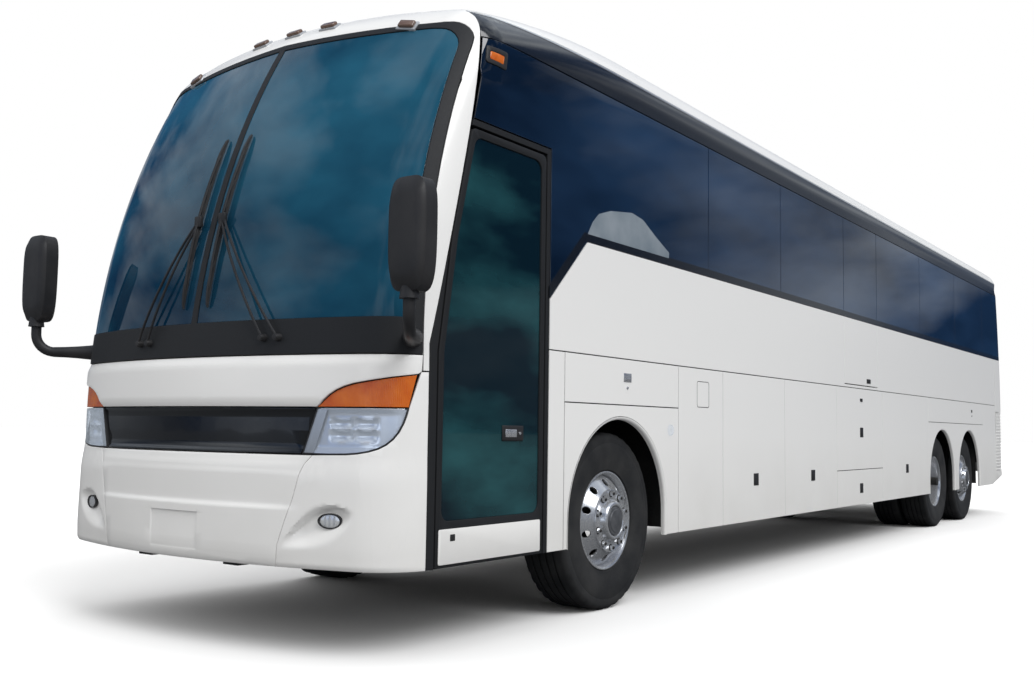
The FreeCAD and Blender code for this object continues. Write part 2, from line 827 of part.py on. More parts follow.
def mirror_unit():
    """Left mirror: a bent arm from the cowl to a tall rounded head."""
    x, y, z = mirror_x, mirror_y, mirror_z
    rings = []
    for along, inset in ((0, mirror_round), (mirror_round, 0), (mirror_depth, 0),
                         (mirror_depth, mirror_rim), (mirror_depth - mirror_rim, mirror_rim)):
        half = mirror_width / 2 - inset
        rise = mirror_height / 2 - inset
        corner = mirror_round - inset / 2
        ring = []
        for across, up, first in ((1, 1, 0), (-1, 1, 1), (-1, -1, 2), (1, -1, 3)):
            for k in range(mirror_facets + 1):
                turn = (first + k / mirror_facets) * math.pi / 2
                ring.append(Vector(x + across * (half - corner) + corner * math.cos(turn), y + along,
                                   z + up * (rise - corner) + corner * math.sin(turn)))
        rings.append(ring)
    head = stacked(rings)
    root = Vector(mirror_root_x, screen_y(mirror_root_x, mirror_root_z, seat_gap), mirror_root_z)
    elbow_y = y + mirror_depth / 2
    elbow = Vector(x, elbow_y, mirror_root_z)
    foot = Vector(x, elbow_y, z - mirror_height / 2 + mirror_round)
    return head.fuse(rod(eased([root, elbow, foot], mirror_bend), mirror_arm_radius))


def marker_lamps(outer):
    """Row of clearance lamps on the roof's front lip."""
    lamps = []
    for x in marker_stations:
        y = screen_y(x, screen_top_z, 0) + marker_set
        top = roof_crown_z - roof_drop(y) - crown_radius() + math.sqrt(crown_radius() ** 2 - x ** 2)
        lamps.append(box(x - marker_width / 2, x + marker_width / 2, y, y + marker_length,
                         top - overrun, top + marker_height).cut(outer))
    return lamps


def rear_cap(skin, glass_layer):
    """Rear end with its corners, open for the engine door, lamps and windows."""
    half = side_half()
    cap = skin.common(box(-half, half, rear_cap_y, rear_end_y + overrun, skirt_z, roof_crown_z))
    cap = cap.cut(rear_opening(0, engine_door_z, engine_door_half))
    side = side_glass_prism(False)
    panes = rear_opening(0, rear_window_z, rear_window_half).multiFuse([side, mirrored(side)])
    cap = cap.cut(glass_layer.common(panes))
    cap = cap.cut(rear_opening(window_lap, rear_window_z, rear_window_half)).cut(underside_cut())
    for cut in (louvre_prism(), lamp_column()):
        cap = cap.cut(cut).cut(mirrored(cut))
    return cap


def rear_opening(inset, levels, across):
    low, high = levels
    y = rear_end_y
    outline = [(-across + inset, low + inset), (across - inset, low + inset),
               (across - inset, high - inset), (-across + inset, high - inset)]
    return front_prism(outline, y - rear_depth, y + overrun)


def engine_door(skin):
    low, high = engine_door_z
    half = engine_door_half - panel_gap
    door = skin.common(rear_opening(0, (low + panel_gap, high), half))
    return door


def polygon(corners):
    return Part.Face(Part.makePolygon(corners + corners[:1]))


def stacked(rings, is_closed=False):
    """Solid of flat faces that join each ring of corners to the next one."""
    pairs = list(zip(rings[:-1], rings[1:]))
    faces = []
    if is_closed:
        pairs.append((rings[-1], rings[0]))
    else:
        faces = [polygon(rings[0]), polygon(rings[-1])]
    for low, high in pairs:
        for k in range(len(low)):
            last = k - 1
            faces.append(polygon([low[last], low[k], high[k], high[last]]))
    solid = Part.makeSolid(Part.makeShell(faces))
    if solid.Volume < 0:
        solid.reverse()
    return solid


def end_corners(half, bow, corner):
    """A bowed end with round corners, as (x, reach) from the side to the middle."""
    across = half - corner
    along = math.sqrt((bow - corner) ** 2 - across ** 2)
    touch = math.atan2(along, across)
    corners = []
    for i in range(corner_facets):
        turn = touch * i / corner_facets
        corners.append((across + corner * math.cos(turn), corner * math.sin(turn) + along - bow))
    for i in range(bow_facets + 1):
        turn = touch + (math.pi / 2 - touch) * i / bow_facets
        corners.append((bow * math.cos(turn), bow * math.sin(turn) - bow))
    return corners


def plan_ring(z, inset):
    half = side_half() - inset
    front = nose_y() + setback(rake_radius, rake_start_z, z) + inset
    rear = rear_end_y - setback(rear_rake_radius, rear_rake_start_z, z) - inset
    nose = end_corners(half, front_bow_radius - inset, front_corner_radius - inset)
    tail = end_corners(half, rear_bow_radius - inset, rear_corner_radius - inset)
    ring = [Vector(x, front - reach, z) for x, reach in nose]
    ring += [Vector(-x, front - reach, z) for x, reach in reversed(nose[:-1])]
    ring += [Vector(-x, rear + reach, z) for x, reach in tail]
    return ring + [Vector(x, rear + reach, z) for x, reach in reversed(tail[:-1])]


def plan_solid(inset, foot_z):
    return stacked([plan_ring(z, inset) for z in [foot_z] + rake_levels()])


def roof_drop(y):
    """How far the roof has come down at a place ahead of its level part."""
    return setback(roof_dip_radius, -roof_dip_y, -y)


def crown_radius():
    across = side_half() - roof_shoulder_radius
    rise = roof_rise
    return (across ** 2 + rise ** 2 - roof_shoulder_radius ** 2) / (rise - roof_shoulder_radius) / 2


def roof_ring(y, inset, foot_z):
    half = side_half() - inset
    top = roof_crown_z - roof_drop(y) - inset
    section = end_corners(half, crown_radius() - inset, roof_shoulder_radius - inset)
    ring = [Vector(half, y, foot_z)]
    ring += [Vector(x, y, top + reach) for x, reach in section]
    ring += [Vector(-x, y, top + reach) for x, reach in reversed(section[:-1])]
    return ring + [Vector(-half, y, foot_z)]


def roof_solid(inset, foot_z):
    front = -front_overhang - overrun
    step = (roof_dip_y - front) / dip_stations
    stations = [front + i * step for i in range(dip_stations + 1)] + [rear_end_y + overrun]
    return stacked([roof_ring(y, inset, foot_z) for y in stations])


def rod(points, radius, sides=None):
    """Bar with flats through the points, its corners mitred."""
    sides = sides or rod_sides
    along = (points[1] - points[0]).normalize()
    across = along.cross(Vector(1, 0, 0) if abs(along.x) < abs(along.z) else Vector(0, 0, 1)).normalize()
    up = across.cross(along)
    corner = radius / math.cos(math.pi / sides)
    ring = []
    for k in range(sides):
        turn = 2 * math.pi * (k + 1 / 2) / sides
        ring.append(points[0] + across * (corner * math.cos(turn)) + up * (corner * math.sin(turn)))
    rings = [ring]
    for i in range(1, len(points)):
        along = (points[i] - points[i - 1]).normalize()
        normal = along
        if i < len(points) - 1:
            normal = along + (points[i + 1] - points[i]).normalize()
        ring = [spot + along * ((points[i] - spot).dot(normal) / along.dot(normal)) for spot in ring]
        rings.append(ring)
    return stacked(rings)


def eased(points, bend):
    """The route through the points with each inner corner drawn as an arc."""
    route = [points[0]]
    for i in range(1, len(points) - 1):
        back = (points[i - 1] - points[i]).normalize()
        ahead = (points[i + 1] - points[i]).normalize()
        half_turn = back.getAngle(ahead) / 2
        inward = (back + ahead).normalize()
        centre = points[i] + inward * (bend / math.sin(half_turn))
        sweep = math.pi / 2 - half_turn
        side = (back - ahead).normalize()
        for k in range(bend_steps + 1):
            turn = sweep * (1 - 2 * k / bend_steps)
            route.append(centre - inward * (bend * math.cos(turn)) + side * (bend * math.sin(turn)))
    return route + [points[-1]]


def upright(x, y, z0, z1, radius):
    return rod([Vector(x, y, z0), Vector(x, y, z1)], radius)


def crosswise(x0, x1, y, radius):
    return rod([Vector(x0, y, tyre_radius), Vector(x1, y, tyre_radius)], radius)


def axle_casing(axle_y, middle_radius):
    """Axle casing with spindles, hung from the frame rails by spring seats."""
    reach = wheel_track / 2 + dish_depth
    parts = [crosswise(-tube_half, tube_half, axle_y, axle_tube_radius),
             crosswise(-housing_half, housing_half, axle_y, middle_radius)]
    for x in (-rail_x, rail_x):
        parts.append(box(x - rail_width / 2, x + rail_width / 2, axle_y - spring_half,
                         axle_y + spring_half, tyre_radius, rail_foot_z))
    return spindle(-reach, reach, axle_y).multiFuse(parts).removeSplitter()


def door_brackets():
    """Brackets on the door leaf that carry it on the ends of the swing arms."""
    x = door_column_x
    end_y = door_column_y + door_arm_length
    brackets = []
    for z in door_arm_levels:
        top = z + door_arm_height
        lug = box(x - door_column_radius, side_half() - wall, end_y - door_column_radius,
                  end_y + door_column_radius, top, top + door_column_radius)
        pin = journal(Vector(x, end_y, z), Vector(x, end_y, top), door_pin_radius)
        brackets.append(lug.fuse(pin))
    return brackets


def side_glass_prism(is_door_side):
    """Side outline of the flush glass, from the front cap to the rear corner."""
    half = side_half()
    surround_y = door_rear_y + door_post
    head = door_head_z + door_post if is_door_side else glass_notch_z
    outline = [(cap_line_y(glass_top_z) + panel_gap, glass_top_z),
               (cap_line_y(head) + panel_gap, head)]
    if is_door_side:
        outline += [(surround_y, head), (surround_y, glass_notch_z)]
    else:
        outline += [(surround_y, head)]
    outline.append((surround_y + glass_notch_run, belt_z))
    for z in (belt_z, glass_top_z):
        outline.append((side_glass_end - setback(rear_rake_radius, rear_rake_start_z, z), z))
    return side_prism(outline, 0, half + overrun)


def driver_window():
    """Opening behind the glass beside the driver, on the side with no door."""
    half = side_half()
    head = glass_top_z - window_head
    foot = glass_notch_z + window_sill
    rear = door_rear_y + door_post
    outline = [(cap_line_y(foot) + pillar, foot), (rear, foot), (rear, head), (cap_line_y(head) + pillar, head)]
    return side_prism(outline, half - front_corner_radius - overrun, half + overrun)


def journal(start, end, radius):
    """Shaft whose corners lie at the radius, so that it turns in a bore of flats."""
    return rod([start, end], radius * math.cos(math.pi / bore_sides), bore_sides)


def bored(shape, x, y, z0, z1, radius):
    """The shape with an upright bore, its flats at the radius and its clearance."""
    return shape.cut(rod([Vector(x, y, z0), Vector(x, y, z1)], radius + bearing_gap, bore_sides))


def spindle(x0, x1, axle_y):
    return journal(Vector(x0, axle_y, tyre_radius), Vector(x1, axle_y, tyre_radius), spindle_radius)


def door_edge_y(z):
    """The y of the door opening's raked front edge at a height above its knee."""
    share = (z - door_knee_z) / (door_head_z - door_knee_z)
    return door_front_y + (door_head_front_y - door_front_y) * share


def between(pairs, place):
    """Value at a place on the straight runs through rising (place, value) pairs."""
    for (start, low), (end, high) in zip(pairs[:-1], pairs[1:]):
        if place <= end:
            return low + (high - low) * (place - start) / (end - start)
    return pairs[-1][1]


def rake_levels():
    step = (roof_crown_z + overrun - rake_start_z) / rake_stations
    return [rake_start_z + i * step for i in range(rake_stations + 1)]


def front_frame():
    """Front rails and cross beams, with the towing lugs under the bumper."""
    foot = rail_foot_z
    top = foot + rail_depth
    bars = [box(-rail_x, rail_x, y, y + rail_width, foot, top) for y in (front_frame_y, front_cross_y)]
    for x in (-rail_x, rail_x):
        bars.append(box(x - rail_width / 2, x + rail_width / 2, front_frame_y, flap_stations[0] - bulkhead, foot, top))
    bars.append(box(-nose_beam_half, stair_x, nose_beam_y, nose_beam_y + rail_width, foot, top))
    lugs = []
    for x in (-rail_x, stair_x - rail_width / 2):
        rail = box(x - rail_width / 2, x + rail_width / 2, -front_overhang, front_frame_y + rail_width, foot, top)
        bars.append(rail.common(bumper_form(wall)))
        lugs.append(towing_lug(x))
    return bars[0].multiFuse(bars[1:] + lugs).removeSplitter()


def towing_lug(x):
    """Upright plate below a front rail, with a level tongue at its foot for the towing pin."""
    half = lug_run / 2
    tongue = box(x - half, x + half, lug_y - half, lug_y + half, lug_foot_z, lug_foot_z + lug_width)
    plate = box(x - half, x + half, lug_y + lug_width, lug_y + half, lug_foot_z, rail_foot_z + rail_depth)
    eye = Part.makeCylinder(lug_bore_radius, lug_width + overrun, Vector(x, lug_y, lug_foot_z - overrun / 2))
    return tongue.cut(eye).fuse(plate)


def rear_frame(inner):
    """Rear rails and cross beams behind the luggage box."""
    foot = rail_foot_z
    top = foot + rail_depth
    half = side_half()
    bars = []
    for x in (-rail_x, rail_x):
        bars.append(box(x - rail_width / 2, x + rail_width / 2, bay_end_y + bulkhead, rear_frame_y, foot, top))
    for back in rear_cross_backs:
        y = rear_end_y - back
        bars.append(box(-rail_x, rail_x, y, y + rail_width, foot, top))
    tail = box(-half, half, rear_frame_y - rail_width, rear_frame_y, foot, top).common(inner)
    return bars[0].multiFuse(bars[1:] + [tail]).removeSplitter()


def luggage_box():
    """Luggage floor between two bulkheads, with a post between each two flaps."""
    deck = floor_z - floor_depth
    under = bay_floor_z - bay_floor_depth
    bars = [box(-inner_half, inner_half, bay_start_y - bulkhead, bay_end_y + bulkhead, under, bay_floor_z)]
    for y in (bay_start_y - bulkhead, bay_end_y):
        bars.append(box(-inner_half, inner_half, y, y + bulkhead, under, deck))
    for y in flap_stations[1:-1]:
        for x in (-inner_half, inner_half - post_width):
            bars.append(box(x, x + post_width, y - post_width / 2, y + post_width / 2, bay_floor_z, deck))
    return bars[0].multiFuse(bars[1:]).removeSplitter()


def underside_cut():
    """Wedge off the rear underside, which rises towards the rear bumper."""
    half = side_half()
    y = rear_end_y - tail_rise_back
    outline = [(y, skirt_z - overrun), (y, skirt_z), (rear_end_y + overrun, tail_foot_z), (rear_end_y + overrun, skirt_z - overrun)]
    return side_prism(outline, -half - overrun, half + overrun)


def louvre_prism():
    """Place of the louvre panel round the left rear corner."""
    half = side_half()
    y0 = rear_cap_y + panel_gap
    return box(louvre_x, half + overrun, y0, rear_end_y, louvre_z[0], louvre_z[1])


def lamp_column():
    """Place of the left column of tail lamps on the rear corner."""
    return box(tail_lamp_x[0], tail_lamp_x[1], rear_cap_y, rear_end_y, tail_lamp_z[0], tail_lamp_z[1])


def tail_lamps(trim):
    """Three stacked lenses on each side of the rear."""
    column = trim.common(lamp_column())
    low, high = tail_lamp_z
    step = (high - low) / tail_lamp_count
    for i in range(1, tail_lamp_count):
        z = low + i * step
        column = column.cut(box(0, side_half(), rear_cap_y, rear_end_y, z - panel_gap / 2, z + panel_gap / 2))
    return both_sides(column)


def wheel_housing(y0, y1):
    """Liner plates round the left wheels between two places."""
    x = rail_x + rail_width / 2
    plates = [box(x, inner_half, y0, y1, liner_top_z, liner_top_z + liner)]
    for y in (y0 - liner, y1):
        plates.append(box(x, inner_half, y, y + liner, liner_foot_z, liner_top_z + liner))
    inside = box(x, x + liner, y0, y1, rail_foot_z, liner_top_z)
    return inside.multiFuse(plates).removeSplitter()


def wheel_housings():
    """Liners over the front wheels and over the two rear axles, on both sides."""
    front = wheel_housing(-liner_reach, liner_reach)
    rear = wheel_housing(bay_end_y + bulkhead + liner, tag_axle_y + arch_half + liner)
    return Part.makeCompound([front, rear, mirrored(front), mirrored(rear)])


# The distance from the front axle back to the middle of the coach's length,
# which lies over the origin
centre_y = (rear_end_y - front_overhang) / 2


def write(node, shape):
    placed = shape.copy()
    placed.translate(Vector(0, -centre_y, 0))
    placed.exportStep("parts/" + node + ".step")


def write_wheels():
    x = wheel_track / 2
    for name, axle_y in (("front", 0), ("tag", tag_axle_y)):
        rubber = at_axle(tyre(), x, axle_y)
        disc = at_axle(disc_wheel(spindle_radius + bearing_gap), x, axle_y)
        write(name + "_tyre_left", rubber)
        write(name + "_tyre_right", mirrored(rubber))
        write(name + "_wheel_left", disc)
        write(name + "_wheel_right", mirrored(disc))
    inner_x = x - 2 * dish_depth - seat_gap
    twins = Part.makeCompound([at_axle(tyre(), x, drive_axle_y), at_axle(tyre(), inner_x, drive_axle_y)])
    outer = disc_wheel(spindle_radius + bearing_gap)
    outer.rotate(Vector(0, 0, 0), Vector(0, 0, 1), 180)
    rims = Part.makeCompound([at_axle(outer, x, drive_axle_y), at_axle(inner_rim(), inner_x, drive_axle_y)])
    write("drive_tyres_left", twins)
    write("drive_tyres_right", mirrored(twins))
    write("drive_wheels_left", rims)
    write("drive_wheels_right", mirrored(rims))


def build():
    os.makedirs("parts", exist_ok=True)
    outer = envelope(0)
    under_glass = envelope(pane)
    inner = envelope(wall)
    under_trim = envelope(trim_depth)
    skin = outer.cut(inner)
    trim = outer.cut(under_trim)
    glass_layer = outer.cut(under_glass)

    write("front_cap", front_cap(skin))
    write("nose_panel", nose_panel(skin))
    write("bumper", bumper_shell())
    cowl = trim.common(cowl_prism(nose_top_z)).common(front_of_cap_line(overrun))
    write("screen_surround", windscreen_surround(trim).fuse(cowl).removeSplitter())
    write("grille", trim.common(grille_prism()))
    lamp = skin.common(lamp_prism(bumper_top_z, grille_top_z))
    write("headlamps", both_sides(lamp))
    amber = skin.common(lamp_prism(grille_top_z, roof_crown_z))
    write("signal_lamps", Part.makeCompound([amber, mirrored(amber)] + marker_lamps(outer)))
    write("wipers", wipers(outer))
    write("mirrors", both_sides(mirror_unit().cut(outer)))
    write("roof", roof_panel(skin))
    coves = cove_panel(skin).fuse(roof_strip(skin))
    louvre = trim.common(louvre_prism()).cut(lamp_column())
    write("black_trim", Part.makeCompound([coves, mirrored(coves), door_surround(skin), louvre, mirrored(louvre)]))
    write("side_wall_left", side_wall(skin, glass_layer, True))
    write("side_wall_right", mirrored(side_wall(skin, glass_layer, False)))
    panes = [windscreen_panes(glass_layer), side_glass(glass_layer, True), mirrored(side_glass(glass_layer, False)),
             glass_layer.common(rear_opening(0, rear_window_z, rear_window_half))]
    write("glazing", Part.makeCompound(panes))
    write("rear_cap", rear_cap(skin, glass_layer))
    write("engine_door", engine_door(skin))
    write("tail_lamps", tail_lamps(trim))
    write("wheel_housings", wheel_housings())
    write("front_frame", front_frame())
    write("luggage_box", luggage_box())
    write("rear_frame", rear_frame(inner))
    write("cabin_floor", cabin_floor(inner))
    write("seats", passenger_seats())
    write("driver_seat", driver_seat())
    write("dashboard", dashboard(inner))
    write("front_axle", front_beam())
    write("drive_axle", axle_casing(drive_axle_y, housing_radius))
    write("tag_axle", axle_casing(tag_axle_y, axle_tube_radius + pane))
    engine_half = rail_x - rail_width / 2
    write("engine", box(-engine_half, engine_half, engine_y[0], engine_y[1], engine_z[0], engine_z[1]))
    knuckle = front_knuckle()
    write("knuckle_left", knuckle)
    write("knuckle_right", mirrored(knuckle))
    write_wheels()
    write("door_arms", door_arms())
    write("entry_door", door_leaf(skin, glass_layer))
    write("entry_door_glass", glass_layer.common(door_glass_prism(0)))
    write("lift_door", lift_door())
    write("lift_door_glass", lift_door_glass())
    for i in range(len(flap_stations) - 1):
        write("luggage_flap_left_" + str(i + 1), luggage_flap(i))
        write("luggage_flap_right_" + str(i + 1), mirrored(luggage_flap(i)))
    for name, span in (("front", front_flap_y), ("rear", rear_flap_y)):
        write(name + "_service_flap_left", service_flap(span))
        write(name + "_service_flap_right", mirrored(service_flap(span)))


build()
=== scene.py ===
import math
import bpy
import bmesh
from mathutils import Matrix, Vector
from mathutils.geometry import delaunay_2d_cdt


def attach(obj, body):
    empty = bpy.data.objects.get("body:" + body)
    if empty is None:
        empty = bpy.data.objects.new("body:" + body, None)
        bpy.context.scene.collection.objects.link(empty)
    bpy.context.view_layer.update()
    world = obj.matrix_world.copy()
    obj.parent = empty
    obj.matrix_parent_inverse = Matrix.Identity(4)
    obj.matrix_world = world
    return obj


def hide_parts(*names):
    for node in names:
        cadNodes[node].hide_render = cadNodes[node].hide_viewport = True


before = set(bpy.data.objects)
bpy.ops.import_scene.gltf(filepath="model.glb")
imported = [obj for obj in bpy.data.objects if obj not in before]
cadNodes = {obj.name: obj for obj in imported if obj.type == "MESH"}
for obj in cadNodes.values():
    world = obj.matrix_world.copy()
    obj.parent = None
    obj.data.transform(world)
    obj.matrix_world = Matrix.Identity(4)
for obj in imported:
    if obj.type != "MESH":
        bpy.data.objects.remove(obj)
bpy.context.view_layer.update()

# Metres. -Y is the nose, +X the door side, the origin lies on the ground below the middle.
frontAxleY = -4.608
driveAxleY = 3.194
tagAxleY = 4.575


def srgb(hexColour):
    channels = [int(hexColour[i:i + 2], 16) / 255 for i in (1, 3, 5)]
    return [c / 12.92 if c <= 0.04045 else ((c + 0.055) / 1.055) ** 2.4 for c in channels] + [1.0]


def addNode(owner, kind, settings=None, links=None):
    # owner is a material or the world
    node = owner.node_tree.nodes.new(kind)
    for key, value in (settings or {}).items():
        if isinstance(key, int) or key in node.inputs:
            node.inputs[key].default_value = value
        else:
            setattr(node, key, value)
    for key, source in (links or {}).items():
        owner.node_tree.links.new(source, node.inputs[key])
    return node


def newMaterial(name, hexColour, metallic=0.0, roughness=0.5, **sockets):
    material = bpy.data.materials.new(name)
    material.use_nodes = True
    shader = material.node_tree.nodes["Principled BSDF"]
    shader.inputs["Base Color"].default_value = srgb(hexColour)
    shader.inputs["Metallic"].default_value = metallic
    shader.inputs["Roughness"].default_value = roughness
    for key, value in sockets.items():
        shader.inputs[key.replace("_", " ")].default_value = value
    return material, shader


def scaledNoise(material, place, millimetres, detail, stretch):
    turn = addNode(material, "ShaderNodeMapping", {"Scale": stretch}, {"Vector": place.outputs["Object"]})
    return addNode(material, "ShaderNodeTexNoise", {"Scale": 1000 / millimetres, "Detail": detail},
                   {"Vector": turn.outputs["Vector"]})


def setRamp(ramp, low, high, start=0.0, end=1.0):
    for stop, colour, position in zip(ramp.color_ramp.elements, (low, high), (start, end)):
        stop.position, stop.color = position, srgb(colour)


def bumpFrom(material, shader, height, strength, distance):
    bump = addNode(material, "ShaderNodeBump", {"Strength": strength, "Distance": distance}, {"Height": height})
    material.node_tree.links.new(bump.outputs["Normal"], shader.inputs["Normal"])


def grainBump(material, shader, millimetres, strength, detail, distance):
    # Surface grain of a real size
    place = addNode(material, "ShaderNodeTexCoord")
    noise = scaledNoise(material, place, millimetres, detail, (1, 1, 1))
    bumpFrom(material, shader, noise.outputs["Fac"], strength, distance)
    return place, noise


def colourSpread(material, shader, place, millimetres, low, high, start=0.35, end=0.65, detail=3.0,
                 stretch=(1, 1, 1)):
    noise = scaledNoise(material, place, millimetres, detail, stretch)
    ramp = addNode(material, "ShaderNodeValToRGB", {}, {"Fac": noise.outputs["Fac"]})
    setRamp(ramp, low, high, start, end)
    material.node_tree.links.new(ramp.outputs["Color"], shader.inputs["Base Color"])


def roughSpread(material, shader, source, low, high):
    span = addNode(material, "ShaderNodeMapRange", {"From Min": 0.3, "From Max": 0.7, "To Min": low, "To Max": high},
                   {"Value": source.outputs["Fac"]})
    material.node_tree.links.new(span.outputs["Result"], shader.inputs["Roughness"])


def makeFinish(name, hexColour, metallic, roughness, grain, colours=None, rough=None, **sockets):
    # Grain as (mm, strength, detail, distance), with a spread of colour and of gloss where one is given
    material, shader = newMaterial(name, hexColour, metallic, roughness, **sockets)
    place, noise = grainBump(material, shader, *grain)
    if colours:
        colourSpread(material, shader, place, *colours)
    if rough:
        roughSpread(material, shader, noise, *rough)
    return material


def seeThrough(material, shader, tint, density):
    # Thin glass: part body colour and shine, part clear with a tint; edge-on it shines more
    clear = addNode(material, "ShaderNodeBsdfTransparent", {"Color": srgb(tint)})
    rim = addNode(material, "ShaderNodeLayerWeight", {"Blend": 0.5})
    steep = addNode(material, "ShaderNodeMath", {"operation": "POWER", 1: 4.0}, {0: rim.outputs["Facing"]})
    share = addNode(material, "ShaderNodeMath", {"operation": "ADD", "use_clamp": True, 1: density},
                    {0: steep.outputs["Value"]})
    mix = addNode(material, "ShaderNodeMixShader", {},
                  {0: share.outputs["Value"], 1: clear.outputs["BSDF"], 2: shader.outputs["BSDF"]})
    output = material.node_tree.nodes["Material Output"]
    material.node_tree.links.new(mix.outputs["Shader"], output.inputs["Surface"])


def makeGlass(name, hexColour, roughness, colours, tint, density, **sockets):
    material, shader = newMaterial(name, hexColour, 0.0, roughness, **sockets)
    place = addNode(material, "ShaderNodeTexCoord")
    # Lighter patches in the base colour: painted reflections of a cloudy sky
    colourSpread(material, shader, place, *colours)
    seeThrough(material, shader, tint, density)
    return material


def makeRibbedLens(name, hexColour, roughness, flute, colours, **sockets):
    # Moulded acrylic; flute is (scale, direction, distortion)
    material, shader = newMaterial(name, hexColour, 0.0, roughness, **sockets)
    place = addNode(material, "ShaderNodeTexCoord")
    flutes = addNode(material, "ShaderNodeTexWave",
                     {"Scale": flute[0], "bands_direction": flute[1], "Distortion": flute[2]},
                     {"Vector": place.outputs["Object"]})
    bumpFrom(material, shader, flutes.outputs["Fac"], 0.5, 0.002)
    colourSpread(material, shader, place, *colours)
    return material


def makeWhitePaint():
    # Two-pack white coach enamel, sprayed and clear coated: bright, smooth, faint orange peel, greyer in patches
    # towards the bottom
    material, shader = newMaterial("sprayedWhiteEnamel", "#EFEFEE", 0.0, 0.34, Coat_Weight=0.35, Coat_Roughness=0.08)
    place, noise = grainBump(material, shader, 9.0, 0.003, 2.0, 0.0004)
    roughSpread(material, shader, noise, 0.3, 0.36)
    split = addNode(material, "ShaderNodeSeparateXYZ", {}, {"Vector": place.outputs["Object"]})
    # Grey patches that grow stronger towards the bottom of the body
    lowPatchNoise = addNode(material, "ShaderNodeTexNoise", {"Scale": 2.2, "Detail": 6.0}, {"Vector": place.outputs["Object"]})
    low = addNode(material, "ShaderNodeMapRange", {"From Min": 0.4, "From Max": 1.05, "To Min": 0.55, "To Max": 0.0},
                  {"Value": split.outputs["Z"]})
    mixed = addNode(material, "ShaderNodeMath", {"operation": "MULTIPLY"},
                    {0: low.outputs["Result"], 1: lowPatchNoise.outputs["Fac"]})
    ramp = addNode(material, "ShaderNodeValToRGB", {}, {"Fac": mixed.outputs["Value"]})
    setRamp(ramp, "#EFEFEE", "#C9C7C2")
    material.node_tree.links.new(ramp.outputs["Color"], shader.inputs["Base Color"])
    return material


def makeClearLens():
    # Hard-coated clear polycarbonate
    material, shader = newMaterial("clearPolycarbonate", "#DCE6EE", 0.0, 0.02, IOR=1.58)
    grainBump(material, shader, 25.0, 0.04, 1.0, 0.0005)
    seeThrough(material, shader, "#FAFCFF", 0.02)
    return material


def makeStageFloor():
    # Seamless studio paper: white to the camera, greyer to other rays, so that little light comes back up from it
    material, shader = newMaterial("seamlessStudioPaper", "#FAFAFA", 0.0, 0.95)
    shader.inputs["Specular IOR Level"].default_value = 0.0
    path = addNode(material, "ShaderNodeLightPath")
    dim = addNode(material, "ShaderNodeMix", {"data_type": "RGBA", 6: srgb("#8C8C8D"), 7: srgb("#55585C")},
                  {"Factor": path.outputs["Is Glossy Ray"]})
    tone = addNode(material, "ShaderNodeMix", {"data_type": "RGBA", 7: srgb("#FAFAFA")},
                   {"Factor": path.outputs["Is Camera Ray"], 6: dim.outputs[2]})
    material.node_tree.links.new(tone.outputs[2], shader.inputs["Base Color"])
    return material


paint = makeWhitePaint()
# Gloss black moulded ABS: deep, mirror-like, very slightly uneven
trimBlack = makeFinish("mouldedGlossBlackAbs", "#141517", 0.0, 0.16, (14.0, 0.05, 2.0, 0.0005), rough=(0.1, 0.22),
                       Coat_Weight=0.5)
# Extruded EPDM gasket: dark, dull, fine lines along it
sealRubber = makeFinish("extrudedEpdmRubber", "#1B1C1E", 0.0, 0.6, (3.0, 0.25, 3.0, 0.0006), rough=(0.5, 0.72))
# Toughened privacy glass, dark navy right through, with lighter blue patches in its colour that are painted
# reflections of clouds
sideGlass = makeGlass("toughenedNavyGlass", "#0B1626", 0.02,
                      (1700, "#071426", "#2F4C70", 0.42, 0.74, 6.0, (1.0, 0.5, 1.9)),
                      "#1B2740", 0.72, IOR=1.75, Coat_Weight=1.0, Coat_Roughness=0.01)
# Laminated windscreen with a blue-green tint: clearer than the side glass, the dash shows faintly through it; its
# lighter teal patches are painted reflections of clouds
screenGlass = makeGlass("laminatedTealGlass", "#16384F", 0.015,
                        (1300, "#0E3550", "#36809F", 0.36, 0.76, 5.0, (1.0, 1.0, 1.6)),
                        "#3F7388", 0.62, IOR=1.52, Coat_Weight=0.3, Coat_Roughness=0.01)
# Laminated door glass, green-tinted, darker where the stairwell stands behind it; its lighter teal patches are
# painted reflections
doorGlassFinish = makeGlass("laminatedGreenGlass", "#123440", 0.02,
                            (900, "#0C2530", "#3B7A80", 0.44, 0.72, 5.0, (1.0, 0.6, 1.7)),
                            "#2C4A50", 0.55, IOR=1.6, Coat_Weight=0.5, Coat_Roughness=0.01)
clearLens = makeClearLens()
# Ribbed amber acrylic: glows orange, fine vertical flutes
amberLens = makeRibbedLens("ribbedAmberAcrylic", "#D8691C", 0.16, (50.0, "X", 0.4),
                           (120, "#CE5A12", "#E67A22", 0.35, 0.7),
                           Coat_Weight=0.25, Transmission_Weight=0.15)
# Ribbed red acrylic of the tail lamps
redLens = makeRibbedLens("ribbedRedAcrylic", "#8C1210", 0.12, (45.0, "Z", 0.3), (90, "#7C0E0D", "#A81C18", 0.35, 0.7),
                         Coat_Weight=0.6)
# Smoked acrylic of the roof lamps: brown, glossy, uneven inside
smokedLens = makeFinish("smokedAcrylicLens", "#6B5446", 0.0, 0.18, (8.0, 0.2, 2.0, 0.0006), Coat_Weight=0.6)
# Vacuum-metallised reflector: bright, softly mirrored
chrome = makeFinish("metallisedReflector", "#F4F6F8", 0.5, 0.12, (30.0, 0.05, 1.0, 0.0005))
# Moulded light grey lamp bezel: satin, finely grained
lampGrey = makeFinish("mouldedLightGreyBezel", "#B9BCC0", 0.3, 0.35, (2.0, 0.1, 2.0, 0.0003))
# Forged aluminium disc, machine polished: bright with faint turning marks round the hub
wheelMetal = makeFinish("polishedForgedAluminium", "#DCDDDF", 0.8, 0.2, (2.5, 0.12, 2.0, 0.0004), rough=(0.14, 0.3))
